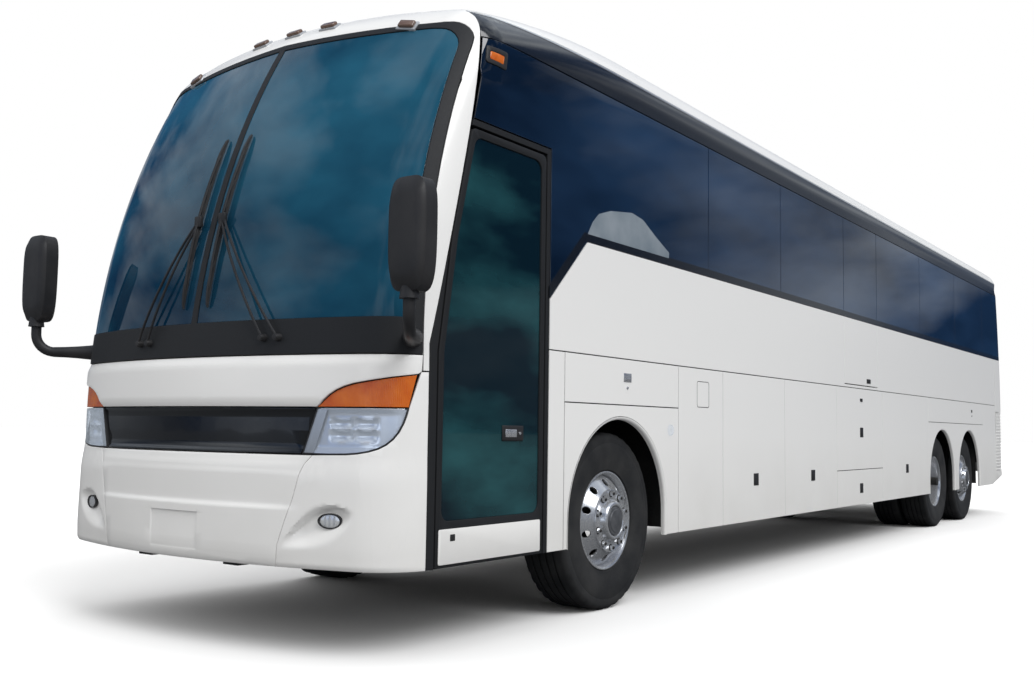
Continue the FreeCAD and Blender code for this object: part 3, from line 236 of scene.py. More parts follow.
# Painted hub cap: mid grey, slightly cloudy
hubGrey = makeFinish("paintedHubCap", "#54565A", 0.2, 0.4, (5.0, 0.15, 3.0, 0.0005),
                     (60, "#4A4C50", "#606266", 0.35, 0.7))
# Vulcanised tread rubber: charcoal, matt, a little dust in it
tyreRubber = makeFinish("vulcanisedTyreRubber", "#2C2D2F", 0.0, 0.78, (4.0, 0.35, 5.0, 0.0008),
                        (160, "#1E1F21", "#313131", 0.35, 0.7, 6.0), (0.68, 0.88))
# Textured black polypropylene, as on mirror shells and lamp backs
mouldedBlack = makeFinish("texturedBlackPolypropylene", "#232325", 0.0, 0.5, (1.6, 0.3, 2.0, 0.0005),
                          (200, "#1E1E20", "#2D2C2D", 0.3, 0.7), (0.42, 0.6))
# Silvered plate glass: a clean mirror
mirrorGlass = makeFinish("silveredPlateGlass", "#D5DADF", 1.0, 0.03, (60.0, 0.02, 1.0, 0.0003))
# Grey painted plate: flat, faintly cloudy
badgeGrey = makeFinish("paintedGreyPlate", "#8C99A3", 0.35, 0.42, (3.0, 0.1, 3.0, 0.0004),
                       (240, "#7F8D98", "#A3ADB5", 0.3, 0.7))
# Black chassis paint over rolled steel, with road dust
frameSteel = makeFinish("chassisPaintedSteel", "#1E1F20", 0.0, 0.62, (12.0, 0.3, 5.0, 0.001),
                        (260, "#1A1B1C", "#353330", 0.35, 0.75, 6.0), (0.5, 0.78))
# Grey engine enamel on cast iron: rough skin, oil-darkened
enginePaint = makeFinish("enamelledCastIron", "#6B6D6C", 0.2, 0.55, (6.0, 0.5, 5.0, 0.0012),
                         (180, "#3F4040", "#767876", 0.3, 0.6, 6.0))
# Safety vinyl with a fine grit
floorVinyl = makeFinish("grittedSafetyVinyl", "#3A3B3E", 0.0, 0.7, (2.0, 0.35, 2.0, 0.0006),
                        (5, "#2C2D30", "#4A4B4E", 0.4, 0.6))
# Woven moquette: deep blue-grey pile with a small fleck
seatCloth = makeFinish("wovenMoquette", "#20283A", 0.0, 0.85, (3.0, 0.5, 3.0, 0.001),
                       (9, "#171D2C", "#37425A", 0.42, 0.62),
                       Sheen_Weight=0.4, Sheen_Roughness=0.5)
# Slush-moulded charcoal dash skin, leather grain
dashVinyl = makeFinish("slushMouldedVinyl", "#202123", 0.0, 0.6, (2.2, 0.4, 3.0, 0.0006),
                       (240, "#1B1C1E", "#2A2B2D", 0.35, 0.7))
print("materials ready")


# Mesh helpers

def finishPiece(name, bm, material, body="coach", replaces=(), smooth=None, normals=False):
    mesh = bpy.data.meshes.new(name)
    bm.to_mesh(mesh)
    bm.free()
    piece = bpy.data.objects.new(name, mesh)
    bpy.context.scene.collection.objects.link(piece)
    for each in (material if isinstance(material, list) else [material]):
        mesh.materials.append(each)
    if smooth is not None:
        mesh.shade_smooth()
        mesh.set_sharp_from_angle(angle=math.radians(smooth))
    if normals:
        setSurfaceNormals(mesh)
    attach(piece, body)
    if replaces:
        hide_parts(*replaces)
    return piece


def setSurfaceNormals(mesh):
    # Corners on the true surface take its own normal, so that its flats never show
    if "surfaceNormal" not in mesh.attributes:
        return
    direction = mesh.attributes["surfaceNormal"].data
    outer = mesh.attributes["isSkin"].data
    mesh.shade_smooth()
    loops = []
    for polygon in mesh.polygons:
        own = polygon.normal.copy()
        for index in polygon.loop_indices:
            corner = mesh.loops[index].vertex_index
            loops.append(Vector(direction[corner].vector) if outer[corner].value else own)
    mesh.normals_split_custom_set(loops)


def addBox(bm, low, high, bevel=0.0, segments=2, material=0):
    low, high = Vector(low), Vector(high)
    made = bmesh.ops.create_cube(bm, size=1.0)
    size = high - low
    bmesh.ops.transform(bm, verts=made["verts"],
                        matrix=Matrix.Translation((low + high) / 2) @ Matrix.Diagonal((*size, 1)))
    faces = list({face for vert in made["verts"] for face in vert.link_faces})
    if bevel:
        edges = list({edge for vert in made["verts"] for edge in vert.link_edges})
        result = bmesh.ops.bevel(bm, geom=edges, offset=bevel, offset_type="OFFSET", affect="EDGES",
                                 segments=segments, profile=0.5, material=-1)
        bevelled = {face for vert in result["verts"] for face in vert.link_faces}
        faces = list(bevelled | {f for f in faces if f.is_valid})
    for face in faces:
        face.material_index = material
    return faces


def placed(bm, verts, matrix):
    bmesh.ops.transform(bm, verts=verts, matrix=matrix)


def addLathe(bm, profile, steps, centre, axis="X", material=0, isClosed=True):
    # Spins an (along, radius) profile about an axis through centre
    turnAxis = Vector((1, 0, 0)) if axis == "X" else Vector((0, 1, 0)) if axis == "Y" else Vector((0, 0, 1))
    side = Vector((0, 0, 1)) if axis != "Z" else Vector((0, 1, 0))
    centre = Vector(centre)
    verts = [bm.verts.new(centre + turnAxis * along + side * radius) for along, radius in profile]
    edges = [bm.edges.new(pair) for pair in zip(verts[:-1], verts[1:])]
    if isClosed:
        edges.append(bm.edges.new((verts[-1], verts[0])))
    before = set(bm.faces)
    bmesh.ops.spin(bm, geom=verts + edges, cent=centre, axis=turnAxis, angle=math.tau, steps=steps, use_merge=True)
    faces = [face for face in bm.faces if face not in before]
    for face in faces:
        face.material_index = material
    bmesh.ops.remove_doubles(bm, verts=list({v for f in faces for v in f.verts}), dist=1e-6)
    faces = [face for face in bm.faces if face not in before and face.is_valid]
    bmesh.ops.recalc_face_normals(bm, faces=faces)
    return faces


def addTube(bm, points, radius, sides=12, material=0):
    # A bar of round section along points, its rings set square to the path
    points = [Vector(point) for point in points]
    rings = []
    reference = Vector((0, 0, 1))
    for i, point in enumerate(points):
        ahead = (points[min(i + 1, len(points) - 1)] - points[max(i - 1, 0)]).normalized()
        if abs(ahead.dot(reference)) > 0.98:
            reference = Vector((1, 0, 0))
        across = ahead.cross(reference).normalized()
        reference = across.cross(ahead).normalized()
        made = bmesh.ops.create_circle(bm, segments=sides, radius=1.0, cap_ends=False)
        turn = Matrix((across, reference, ahead)).transposed().to_4x4()
        size = radius[i] if isinstance(radius, (list, tuple)) else radius
        placed(bm, made["verts"], Matrix.Translation(point) @ turn @ Matrix.Scale(size, 4))
        rings.append([e for v in made["verts"] for e in v.link_edges if e.other_vert(v) in made["verts"]])
    faces = []
    for low, high in zip(rings[:-1], rings[1:]):
        made = bmesh.ops.bridge_loops(bm, edges=list(set(low)) + list(set(high)))
        faces += made["faces"]
    for ring in (rings[0], rings[-1]):
        faces += bmesh.ops.contextual_create(bm, geom=list(set(ring)))["faces"]
    for face in faces:
        face.material_index = material
    bmesh.ops.recalc_face_normals(bm, faces=faces)
    return faces


def cornerArc(before, here, after, radius, steps):
    # The arc that rounds one corner
    back, ahead = (before - here).normalized(), (after - here).normalized()
    half = back.angle(ahead) / 2
    inward, side = (back + ahead).normalized(), (back - ahead).normalized()
    centre = here + inward * (radius / math.sin(half))
    turns = [(math.pi / 2 - half) * (1 - 2 * k / steps) for k in range(steps + 1)]
    return [centre - inward * (radius * math.cos(turn)) + side * (radius * math.sin(turn)) for turn in turns]


def arcPoints(points, radius, steps=6):
    # Rounds the inner corners of a path
    points = [Vector(p) for p in points]
    route = [points[0]]
    for before, here, after in zip(points, points[1:], points[2:]):
        route += cornerArc(before, here, after, radius, steps)
    return route + [points[-1]]


# The body's surface

bodyHalf = 1.2955
noseTip = -6.828
tailTip = 6.858
noseEnd = {"bow": 3.8, "corner": 0.33}
tailEnd = {"bow": 9.0, "corner": 0.25}
roofEnd = {"bow": 7.124, "corner": 0.3}
crownZ = 3.57
edgeRound = 0.11
for end in (noseEnd, tailEnd, roofEnd):
    end["across"] = bodyHalf - end["corner"]
    end["along"] = end["bow"] - math.sqrt((end["bow"] - end["corner"]) ** 2 - end["across"] ** 2)
    end["turn"] = math.asin(end["across"] / (end["bow"] - end["corner"]))
    end["bowRun"] = end["bow"] * end["turn"]
    end["run"] = end["bowRun"] + end["corner"] * (math.pi / 2 - end["turn"])


def setback(radius, startZ, z):
    rise = max(z - startZ, 0)
    return radius - math.sqrt(radius * radius - rise * rise)


def noseBack(z):
    return setback(4.2, 1.1, z)


def tailBack(z):
    return setback(9.0, 1.4, z)


def roofDrop(y):
    return setback(7.5, 4.408, -y)


def endDistance(end, x, t):
    # Signed distance to a bowed end with round corners, and how much of its normal points sideways
    x = abs(x)
    if t >= end["along"]:
        return x - bodyHalf, 1.0
    if x * (end["bow"] - end["along"]) <= end["across"] * (end["bow"] - t):
        reach = math.hypot(x, end["bow"] - t)
        return reach - end["bow"], x / reach
    reach = math.hypot(x - end["across"], end["along"] - t)
    return reach - end["corner"], (x - end["across"]) / max(reach, 1e-9)


def bodyField(x, y, z):
    # Negative inside the body: the plan's distance and the roof's, met in a round edge
    planSide = endDistance(noseEnd, x, y - noseTip - noseBack(z))
    tailSide = endDistance(tailEnd, x, tailTip - tailBack(z) - y)
    if tailSide[0] > planSide[0]:
        planSide = tailSide
    roofSide = endDistance(roofEnd, x, crownZ - roofDrop(y) - z)
    blend = edgeRound * (1 - planSide[1] * roofSide[1])
    high = max(planSide[0], roofSide[0])
    if blend < 1e-6:
        return high
    overlap = max(blend - abs(planSide[0] - roofSide[0]), 0) / blend
    return high + overlap * overlap * blend / 4


def fieldNormal(x, y, z):
    step = 1e-4
    here = bodyField(x, y, z)
    return Vector((bodyField(x + step, y, z) - here, bodyField(x, y + step, z) - here,
                   bodyField(x, y, z + step) - here)).normalized()


def castOut(start, direction, reach=1.6):
    low, high = 0.0, reach
    for _ in range(24):
        middle = (low + high) / 2
        if bodyField(start[0] + direction[0] * middle, start[1] + direction[1] * middle,
                     start[2] + direction[2] * middle) < 0:
            low = middle
        else:
            high = middle
    return Vector(start) + Vector(direction) * high


fanFoot = {"nose": 2.85, "tail": 3.1}
fanDepth = 0.28
# Plan, outermost y, direction inwards along y, and how far the end leans back with height
bodyEnds = {"nose": (noseEnd, noseTip, 1, noseBack), "tail": (tailEnd, tailTip, -1, tailBack)}


def planPoint(end, s):
    # Point and outward normal along the end's plan, from its middle round to the flat side
    sign = 1 if s >= 0 else -1
    s = abs(s)
    if s < end["bowRun"]:
        turn = s / end["bow"]
        return (sign * end["bow"] * math.sin(turn), end["bow"] * (1 - math.cos(turn)),
                sign * math.sin(turn), -math.cos(turn))
    if s < end["run"]:
        turn = end["turn"] + (s - end["bowRun"]) / end["corner"]
        return (sign * (end["across"] + end["corner"] * math.sin(turn)),
                end["along"] - end["corner"] * math.cos(turn),
                sign * math.sin(turn), -math.cos(turn))
    return sign * bodyHalf, end["along"] + s - end["run"], sign * 1.0, 0.0


def wrapPoint(where, s, w):
    # Body surface at s round the plan and w up it; above the fan's foot, w turns a ray over the roof's edge
    end, tip, turn, back = bodyEnds[where]
    x, t, nx, nt = planPoint(end, s)
    foot = fanFoot[where]
    if w <= foot:
        return Vector((x, tip + turn * (t + back(w)), w))
    angle = (w - foot) / fanDepth
    start = (x - nx * fanDepth, tip + turn * (t + back(foot) - nt * fanDepth), foot)
    direction = (nx * math.cos(angle), turn * nt * math.cos(angle), math.sin(angle))
    return castOut(start, direction)


def skinPoint(view, u, v):
    if view == "side":
        return castOut((0.6, u, v), (1, 0, 0), 0.75)
    if view == "front":
        return castOut((u, noseTip + 1.5, v), (0, -1, 0))
    if view == "top":
        return castOut((u, v, 2.6), (0, 0, 1), 1.1)
    if view == "roof":
        x, t = planPoint(roofEnd, v)[:2]
        return Vector((x, u, crownZ - roofDrop(u) - t))
    return wrapPoint(view, u, v)


def wrapPlace(where, view, u, v):
    # The (s, w) of a point drawn in side view (y, z) or in end view (x, z)
    end, tip, turn, back = bodyEnds[where]
    foot = fanFoot[where]
    w = v if v <= foot else foot + (v - foot) * 0.8
    if view == "side":
        t = turn * (u - tip) - back(min(v, 3.4))
        s = end["run"] + t - end["along"] if t > end["along"] else (
            end["bowRun"] + end["corner"] * (math.acos(min(1, (end["along"] - t) / end["corner"])) - end["turn"]))
    else:
        x = abs(u)
        s = end["bow"] * math.asin(x / end["bow"])
        if s > end["bowRun"]:
            s = end["bowRun"] + end["corner"] * (math.asin(min(1, (x - end["across"]) / end["corner"])) - end["turn"])
        s = math.copysign(s, u)
    if v <= foot:
        return s, w
    for _ in range(14):
        spot = wrapPoint(where, s, w)
        w += (v - spot.z) * 0.7
        if view == "side":
            s += turn * (u - spot.y) * 0.7
        else:
            s += (u - spot.x) * 0.7
    return s, w


# Sheet panels

def turnsLeft(outline):
    return sum(a[0] * b[1] - b[0] * a[1] for a, b in zip(outline, outline[1:] + outline[:1])) > 0


def encloses(outline, spot):
    crossings = 0
    for a, b in zip(outline, outline[1:] + outline[:1]):
        if (a[1] > spot.y) != (b[1] > spot.y) and spot.x < a[0] + (b[0] - a[0]) * (spot.y - a[1]) / (b[1] - a[1]):
            crossings += 1
    return crossings % 2 == 1


def inset(outline, distance):
    # Moves each corner of a left-turning outline inwards, mitred
    moved = []
    count = len(outline)
    for i in range(count):
        here = Vector(outline[i]).to_2d()
        back = (here - Vector(outline[i - 1]).to_2d()).normalized()
        ahead = (Vector(outline[(i + 1) % count]).to_2d() - here).normalized()
        first, second = Vector((-back.y, back.x)), Vector((-ahead.y, ahead.x))
        mitre = (first + second) / max(1 + first.dot(second), 0.3)
        moved.append(here + mitre * distance)
    return [(p.x, p.y) for p in moved]


def rounded(outline, radii, steps=5):
    # The outline with its corners drawn as arcs; radii is one number or one for each corner
    corners = [Vector(p).to_2d() for p in outline]
    if not isinstance(radii, (list, tuple)):
        radii = [radii] * len(corners)
    route = []
    for i, (here, radius) in enumerate(zip(corners, radii)):
        before, after = corners[i - 1], corners[(i + 1) % len(corners)]
        isStraight = (before - here).angle(after - here) > 3.0
        route += [here] if radius <= 0 or isStraight else cornerArc(before, here, after, radius, steps)
    return [(p.x, p.y) for p in route]


def fillRings(bm, rings, isTop):
    # Closes a flat outline round its holes with a constrained triangulation
    corners = [vert for ring in rings for vert in ring]
    start, edges = 0, []
    for ring in rings:
        edges += [(start + k - 1 if k else start + len(ring) - 1, start + k) for k in range(len(ring))]
        start += len(ring)
    flat, _, faces, origins, _, _ = delaunay_2d_cdt([vert.co.xy for vert in corners], edges, [], 0, 1e-7)
    depth = corners[0].co.z
    verts = [corners[origin[0]] if origin else bm.verts.new((spot.x, spot.y, depth))
             for spot, origin in zip(flat, origins)]
    loops = [[tuple(vert.co.xy) for vert in ring] for ring in rings]
    for face in faces:
        centre = sum((flat[k] for k in face), Vector((0, 0))) / len(face)
        if encloses(loops[0], centre) and not any(encloses(loop, centre) for loop in loops[1:]):
            bm.faces.new([verts[k] for k in (face if isTop else face[::-1])])


def cutAcross(bm, axis, place):
    spot, direction = [0, 0, 0], [0, 0, 0]
    spot[axis], direction[axis] = place, 1
    bmesh.ops.bisect_plane(bm, geom=bm.verts[:] + bm.edges[:] + bm.faces[:], dist=1e-5, plane_co=spot,
                           plane_no=direction)


def flatSlab(outline, holes=(), thickness=0.03, gap=0.006, edge=0.003, lift=0.0, grid=((), ())):
    # A sheet drawn flat, z its depth: rounded rim, filled face and back, cut along the grid lines
    bm = bmesh.new()
    loops = [outline if turnsLeft(outline) else outline[::-1]]
    loops += [hole[::-1] if turnsLeft(hole) else hole for hole in holes]
    top, bottom = [], []
    for loop in loops:
        body = inset(loop, gap / 2) if gap else [tuple(p) for p in loop]
        rings = []
        for step, depth in ((edge, 0.0), (0.3 * edge, 0.3 * edge), (0.0, edge), (0.0, thickness)):
            place = inset(body, step) if step else body
            rings.append([bm.verts.new((x, y, -depth)) for x, y in place])
        for high, low in zip(rings[:-1], rings[1:]):
            for k in range(len(high)):
                bm.faces.new((high[k - 1], low[k - 1], low[k], high[k]))
        top.append(rings[0])
        bottom.append(rings[-1])
    for group, isTop in ((top, True), (bottom, False)):
        fillRings(bm, group, isTop)
    for axis in (0, 1):
        for place in grid[axis]:
            cutAcross(bm, axis, place)
    for vert in bm.verts:
        vert.co.z += lift
    return bm


def wrapSlab(bm, view, mirror=False, lift=0.0, relief=None):
    # Bends the flat sheet on to the body surface
    normalLayer = bm.verts.layers.float_vector.new("surfaceNormal")
    skinLayer = bm.verts.layers.int.new("isSkin")
    place = {}
    if view in ("roof", "tail"):
        bmesh.ops.reverse_faces(bm, faces=bm.faces[:])
    for vert in bm.verts:
        u, v, depth = vert.co
        key = (round(u, 5), round(v, 5))
        if key not in place:
            if view == "side" and -6.2 < u < 6.2 and v < 2.9:
                place[key] = (Vector((bodyHalf, u, v)), Vector((1, 0, 0)))
            else:
                spot = skinPoint(view, u, v)
                place[key] = (spot, fieldNormal(*spot))
        spot, normal = place[key]
        if relief:
            raised = relief(u, v)
            spot = spot + normal * raised
        vert[skinLayer] = int(abs(depth - lift) < 1e-6)
        vert[normalLayer] = normal
        vert.co = spot + normal * depth
    if mirror:
        for vert in bm.verts:
            vert.co.x = -vert.co.x
            vert[normalLayer] = Vector((-vert[normalLayer].x, vert[normalLayer].y, vert[normalLayer].z))
        bmesh.ops.reverse_faces(bm, faces=bm.faces[:])
    return bm


def spread(low, high, step):
    count = max(1, round((high - low) / step))
    return [low + (high - low) * i / count for i in range(count + 1)]


def joined(parts):
    # Several sheets in one mesh, their layers kept
    whole = bmesh.new()
    for part in parts:
        mesh = bpy.data.meshes.new("part")
        part.to_mesh(mesh)
        part.free()
        whole.from_mesh(mesh)
        bpy.data.meshes.remove(mesh)
    return whole


def sheet(view, outline, holes=(), thickness=0.03, gap=0.006, edge=0.003, lift=0.0, grid=((), ()), mirror=False,
          material=0, relief=None):
    bm = flatSlab(outline, holes, thickness, gap, edge, lift, grid)
    wrapSlab(bm, view, mirror, lift, relief)
    for face in bm.faces:
        face.material_index = material
    return bm


# Body panels

def row(y):
    # Places are measured behind the front axle
    return y + frontAxleY


def rows(outline):
    return [(row(y), z) for y, z in outline]


def rectangle(y0, z0, y1, z1):
    return rows([(y0, z0), (y1, z0), (y1, z1), (y0, z1)])


def capLine(z):
    return -1.83 if z <= 1.48 else -1.83 + 0.43 * (z - 1.48) / 1.72


body = {
    "skirtZ": 0.413,
    "splitZ": 0.747,         # seam across the third luggage flap
    "flapSeamZ": 1.238,
    "waistZ": 1.522,
    "beltZ": 2.184,
    "glassTopZ": 3.12,
    "stripZ": 3.287,
    "stripTopZ": 3.303,
    "capEndY": 10.8,
    "lipRadius": 0.018,
    "archHalf": 0.606,
    "archSpring": 0.56,
}
flapPlaces = [1.485, 2.6897, 3.969, 5.3682, 7.12]


def archPoints(axle, half, steps=28, foot=0.413):
    # Over the arch from its rear foot to its front foot
    points = [(row(axle) + half, foot)]
    for i in range(steps + 1):
        turn = math.pi * i / steps
        points.append((row(axle) + half * math.cos(turn), body["archSpring"] + half * math.sin(turn)))
    return points + [(row(axle) - half, foot)]


def archLip(bm, axle, side, foot=0.413, material=0):
    # Rounded edge that rolls the panel inwards round the wheel opening
    radius = body["lipRadius"]
    route = archPoints(axle, body["archHalf"], 36, foot)
    rings = []
    for i, (y, z) in enumerate(route):
        if i in (0, len(route) - 1):
            inward = Vector((0, -1 if i == 0 else 1, 0))
        else:
            inward = Vector((0, row(axle) - y, body["archSpring"] - z)).normalized()
        ring = []
        for k in range(6):
            turn = math.pi / 2 * k / 5
            spot = Vector((bodyHalf - radius * (1 - math.cos(turn)), y, z)) + inward * (radius * math.sin(turn))
            ring.append(spot)
        ring.append(ring[-1] + Vector((-0.016, 0, 0)))
        ring.append(ring[-1] - inward * 0.006)
        ring.append(Vector((bodyHalf - 0.03, y, z)))
        rings.append([bm.verts.new((side * p.x, p.y, p.z)) for p in ring])
    faces = []
    for low, high in zip(rings[:-1], rings[1:]):
        for k in range(len(low) - 1):
            faces.append(bm.faces.new((low[k], low[k + 1], high[k + 1], high[k])))
    for face in faces:
        face.material_index = material
        face.smooth = True
    bmesh.ops.recalc_face_normals(bm, faces=faces)
    out = faces[0].normal
    if out.x * side < 0:
        bmesh.ops.reverse_faces(bm, faces=faces)


def sidePanel(outline, isRight, **more):
    return sheet("side", outline, mirror=isRight, **more)


def sideBox(y0, z0, y1, z1, isRight, **more):
    return sidePanel(rectangle(y0, z0, y1, z1), isRight, **more)


def sideStructure(isRight):
    skirt, waist, belt = body["skirtZ"], body["waistZ"], body["beltZ"]
    seam = body["flapSeamZ"]
    parts = []
    start = capLine(waist) if isRight else -0.812
    rear = body["capEndY"]
    if isRight:
        upper = rows([(start, waist), (rear, waist), (rear, belt), (-0.412, belt), (-0.812, 1.8),
                      (capLine(1.8), 1.8)])
        parts.append(sidePanel(upper, True, grid=(spread(-6.5, -5.6, 0.06), ())))
        parts.append(sideBox(-1.83, skirt, -0.648, waist, True, grid=(spread(-6.5, -5.9, 0.06), ())))
    else:
        parts.append(sidePanel(rows([(start, waist), (4.2, waist), (4.2, belt), (-0.412, belt), (-0.812, 1.8)]),
                               False))
        for corners in ((5.225, waist, rear, belt), (4.2, waist, 5.225, waist + 0.03),
                        (-0.812, skirt, -0.648, waist)):
            parts.append(sideBox(*corners, False))
    front = rows([(-0.648, skirt)]) + archPoints(0, body["archHalf"])[::-1]
    front += rows([(0.773, skirt), (0.773, seam), (-0.648, seam)])
    parts.append(sidePanel(front, isRight))
    parts.append(sideBox(0.773, skirt, 1.485, waist, isRight))
    back = rows([(7.12, skirt)]) + archPoints(7.802, body["archHalf"] - 0.005)[::-1]
    back += archPoints(9.183, body["archHalf"] - 0.005)[::-1]
    back += rows([(10.55, skirt), (rear, 0.4553), (rear, waist), (10.0, waist), (10.0, seam), (7.16, seam),
                  (7.16, waist), (7.12, waist)])
    parts.append(sidePanel(back, isRight))
    whole = joined(parts)
    side = -1 if isRight else 1
    for axle in (0, 7.802, 9.183):
        archLip(whole, axle, side)
    reflector = [(-0.004, 0.0), (0.011, 0.0), (0.014, 0.02), (0.012, 0.034), (-0.004, 0.036)]
    addLathe(whole, reflector, 24, (side * bodyHalf, row(0.646), 1.091), "X", 1)
    return whole


def latch(bm, y, z, side, width=0.092, height=0.092):
    # Flush paddle latch: black cup with a raised thumb plate
    low, high = sorted((side * (bodyHalf - 0.004), side * (bodyHalf + 0.0035)))
    addBox(bm, (low, row(y) - width / 2, z - height / 2), (high, row(y) + width / 2, z + height / 2), 0.0025)
    low, high = sorted((side * bodyHalf, side * (bodyHalf + 0.006)))
    addBox(bm, (low, row(y) - width / 2 + 0.012, z - height / 2 + 0.012),
           (high, row(y) + width / 2 - 0.012, z + height / 2 - 0.03), 0.002)


def seamStrips(isRight):
    # Dark rubber in the open joints, sunk below the paint
    half = 0.0019
    boxes = [(y - half, 0.42, y + half, 1.515) for y in [-0.648, 0.773] + flapPlaces]
    for y0, y1, z in ((-0.8, 10.78, body["waistZ"]), (-0.64, 0.765, body["flapSeamZ"]),
                      (7.17, 9.99, body["flapSeamZ"]),
                      (3.977, 5.36, body["splitZ"])):
        boxes.append((y0, z - half, y1, z + half))
    return joined([sideBox(*box, isRight, thickness=0.004, gap=0, edge=0.0003, lift=-0.0035) for box in boxes])


luggageLatches = (((2.089, 0.727),), ((3.338, 0.726),), ((4.686, 1.101), (4.666, 0.57)), ((6.251, 0.724),))
lockBarrel = [(-0.002, 0.0), (0.004, 0.0), (0.005, 0.008), (-0.002, 0.011)]
serviceFlaps = {
    "front": {"span": (-0.648, 0.773), "lockY": 0.07, "latch": (0.095, 0.055), "finish": wheelMetal},
    "rear": {"span": (7.16, 10.0), "lockY": 9.338, "latch": (0.06, 0.035), "finish": mouldedBlack},
}


def luggageFlap(name, i, isRight, side):
    # The third flap is made of two panels
    node = "luggage_flap_%s_%d" % (name, i + 1)
    y0, y1 = flapPlaces[i], flapPlaces[i + 1]
    skirt, waist, split = body["skirtZ"], body["waistZ"], body["splitZ"]
    heights = ((split, waist), (skirt, split)) if i == 2 else ((skirt, waist),)
    flap = joined([sideBox(y0, low, y1, high, isRight) for low, high in heights])
    finishPiece("luggageFlap_%s_%d" % (name, i + 1), flap, paint, node, [node], normals=True)
    latches = bmesh.new()
    for y, z in luggageLatches[i]:
        latch(latches, y, z, side)
    if i == 2:
        latch(latches, 4.686, 1.412, side, 0.075, 0.03)
    finishPiece("luggageLatch_%s_%d" % (name, i + 1), latches, mouldedBlack, node, smooth=40)


def serviceFlap(label, name, isRight, side):
    node = "%s_service_flap_%s" % (label, name)
    kind = serviceFlaps[label]
    flap = sideBox(kind["span"][0], body["flapSeamZ"], kind["span"][1], body["waistZ"], isRight)
    finishPiece("serviceFlap_%s_%s" % (label, name), flap, paint, node, [node], normals=True)
    latches = bmesh.new()
    latch(latches, kind["lockY"], 1.408, side, *kind["latch"])
    addLathe(latches, lockBarrel, 16, (side * bodyHalf, row(kind["lockY"]), 1.345), "X")
    finishPiece("serviceLatch_%s_%s" % (label, name), latches, kind["finish"], node, smooth=40)


for isRight, name, side in ((False, "left", 1), (True, "right", -1)):
    finishPiece("seamRubber_" + name, seamStrips(isRight), sealRubber, smooth=40)
    finishPiece("sideWall_" + name, sideStructure(isRight), [paint, clearLens],
                replaces=["side_wall_" + name], normals=True)
    for i in range(4):
        luggageFlap(name, i, isRight, side)
    for label in serviceFlaps:
        serviceFlap(label, name, isRight, side)
print("sides ready")


# Glass and roof line

paneKind = dict(thickness=0.008, edge=0.0015, gap=0.008, lift=-0.001)
tailGrid = spread(6.2, 6.7, 0.03)


def sidePane(y0, y1, isRight):
    return sideBox(y0, body["beltZ"], y1, body["glassTopZ"], isRight, **paneKind)


def rearGlassEdge(z):
    return 11.29 - tailBack(z)


def sidePanes(isRight):
    top, belt = body["glassTopZ"], body["beltZ"]
    # The first pane comes down to the notch on the driver's side and stops over the door on the other
    corner = [(capLine(1.8) + 0.008, 1.8)] if isRight else [(capLine(2.648) + 0.008, 2.648), (-0.812, 2.648)]
    first = [(capLine(top) + 0.008, top)] + corner + [(-0.812, 1.8), (-0.412, belt), (1.24, belt), (1.24, top)]
    grid = (spread(-6.5, -5.6, 0.05), spread(2.2, belt + 0.5, 0.1) + spread(2.7, top, 0.06))
    parts = [sidePanel(rows(first[::-1]), isRight, grid=grid, **paneKind)]
    places = [(1.24, 2.62), (2.62, 4.2)] + ([(4.2, 5.225)] if isRight else [])
    places += [(5.225, 6.86), (6.86, 8.5), (8.5, 10.05)]
    parts += [sidePane(y0, y1, isRight) for y0, y1 in places]
    rear = [(10.05, belt)] + [(rearGlassEdge(z), z) for z in spread(belt, top, 0.15)] + [(10.05, top)]
    parts.append(sidePanel(rows(rear), isRight, grid=(tailGrid, spread(belt, top, 0.12)), **paneKind))
    return joined(parts)


def fritBand(isRight):
    # Black ceramic band printed along the foot of the glass and round the notch
    belt, top = body["beltZ"], body["beltZ"] + 0.052
    kind = dict(thickness=0.0015, edge=0.0004, gap=0.0, lift=0.0)
    band = rows([(-0.83, 1.8), (-0.43, belt), (10.05, belt), (10.05, top), (-0.452, top), (-0.83, 1.87)])
    rear = rows([(10.05, belt), (rearGlassEdge(belt), belt), (rearGlassEdge(top), top), (10.05, top)])
    return joined([sidePanel(band, isRight, **kind), sidePanel(rear, isRight, grid=(tailGrid, ()), **kind)])


def coveAndStrip(isRight):
    # Black cove under the roof's edge, with the bright strip above it
    top, strip, head = body["glassTopZ"], body["stripZ"], body["stripTopZ"]
    rear = 11.1
    lows = (spread(-6.1, -4.4, 0.12) + spread(6.2, 6.6, 0.04), spread(top, strip, 0.03))

    def hollow(u, v):
        return -0.014 * math.sin(math.pi * min(1, max(0, (v - top) / (strip - top))))

    cove = rows([(capLine(top), top), (rear, top), (rear, strip), (capLine(strip), strip)])
    band = rows([(capLine(strip), strip), (rear, strip), (rear, head), (capLine(head), head)])
    return joined([sidePanel(cove, isRight, grid=lows, gap=0.004, relief=hollow),
                   sidePanel(band, isRight, grid=(lows[0], ()), gap=0.001, edge=0.002, lift=0.001, material=1)])


for isRight, name in ((False, "left"), (True, "right")):
    finishPiece("sidePanes_" + name, sidePanes(isRight), sideGlass, replaces=["glazing"], normals=True)
    finishPiece("glassFrit_" + name, fritBand(isRight), trimBlack, normals=True)
    finishPiece("roofCove_" + name, coveAndStrip(isRight), [trimBlack, wheelMetal],
                replaces=["black_trim"], normals=True)


def roofV(z, y):
    # Distance along the roof's section from its crown down to a height
    t = crownZ - roofDrop(y) - z
    if t >= roofEnd["along"]:
        return roofEnd["run"] + t - roofEnd["along"]
    turn = math.acos((roofEnd["along"] - t) / roofEnd["corner"])
    return roofEnd["bowRun"] + roofEnd["corner"] * (turn - roofEnd["turn"])


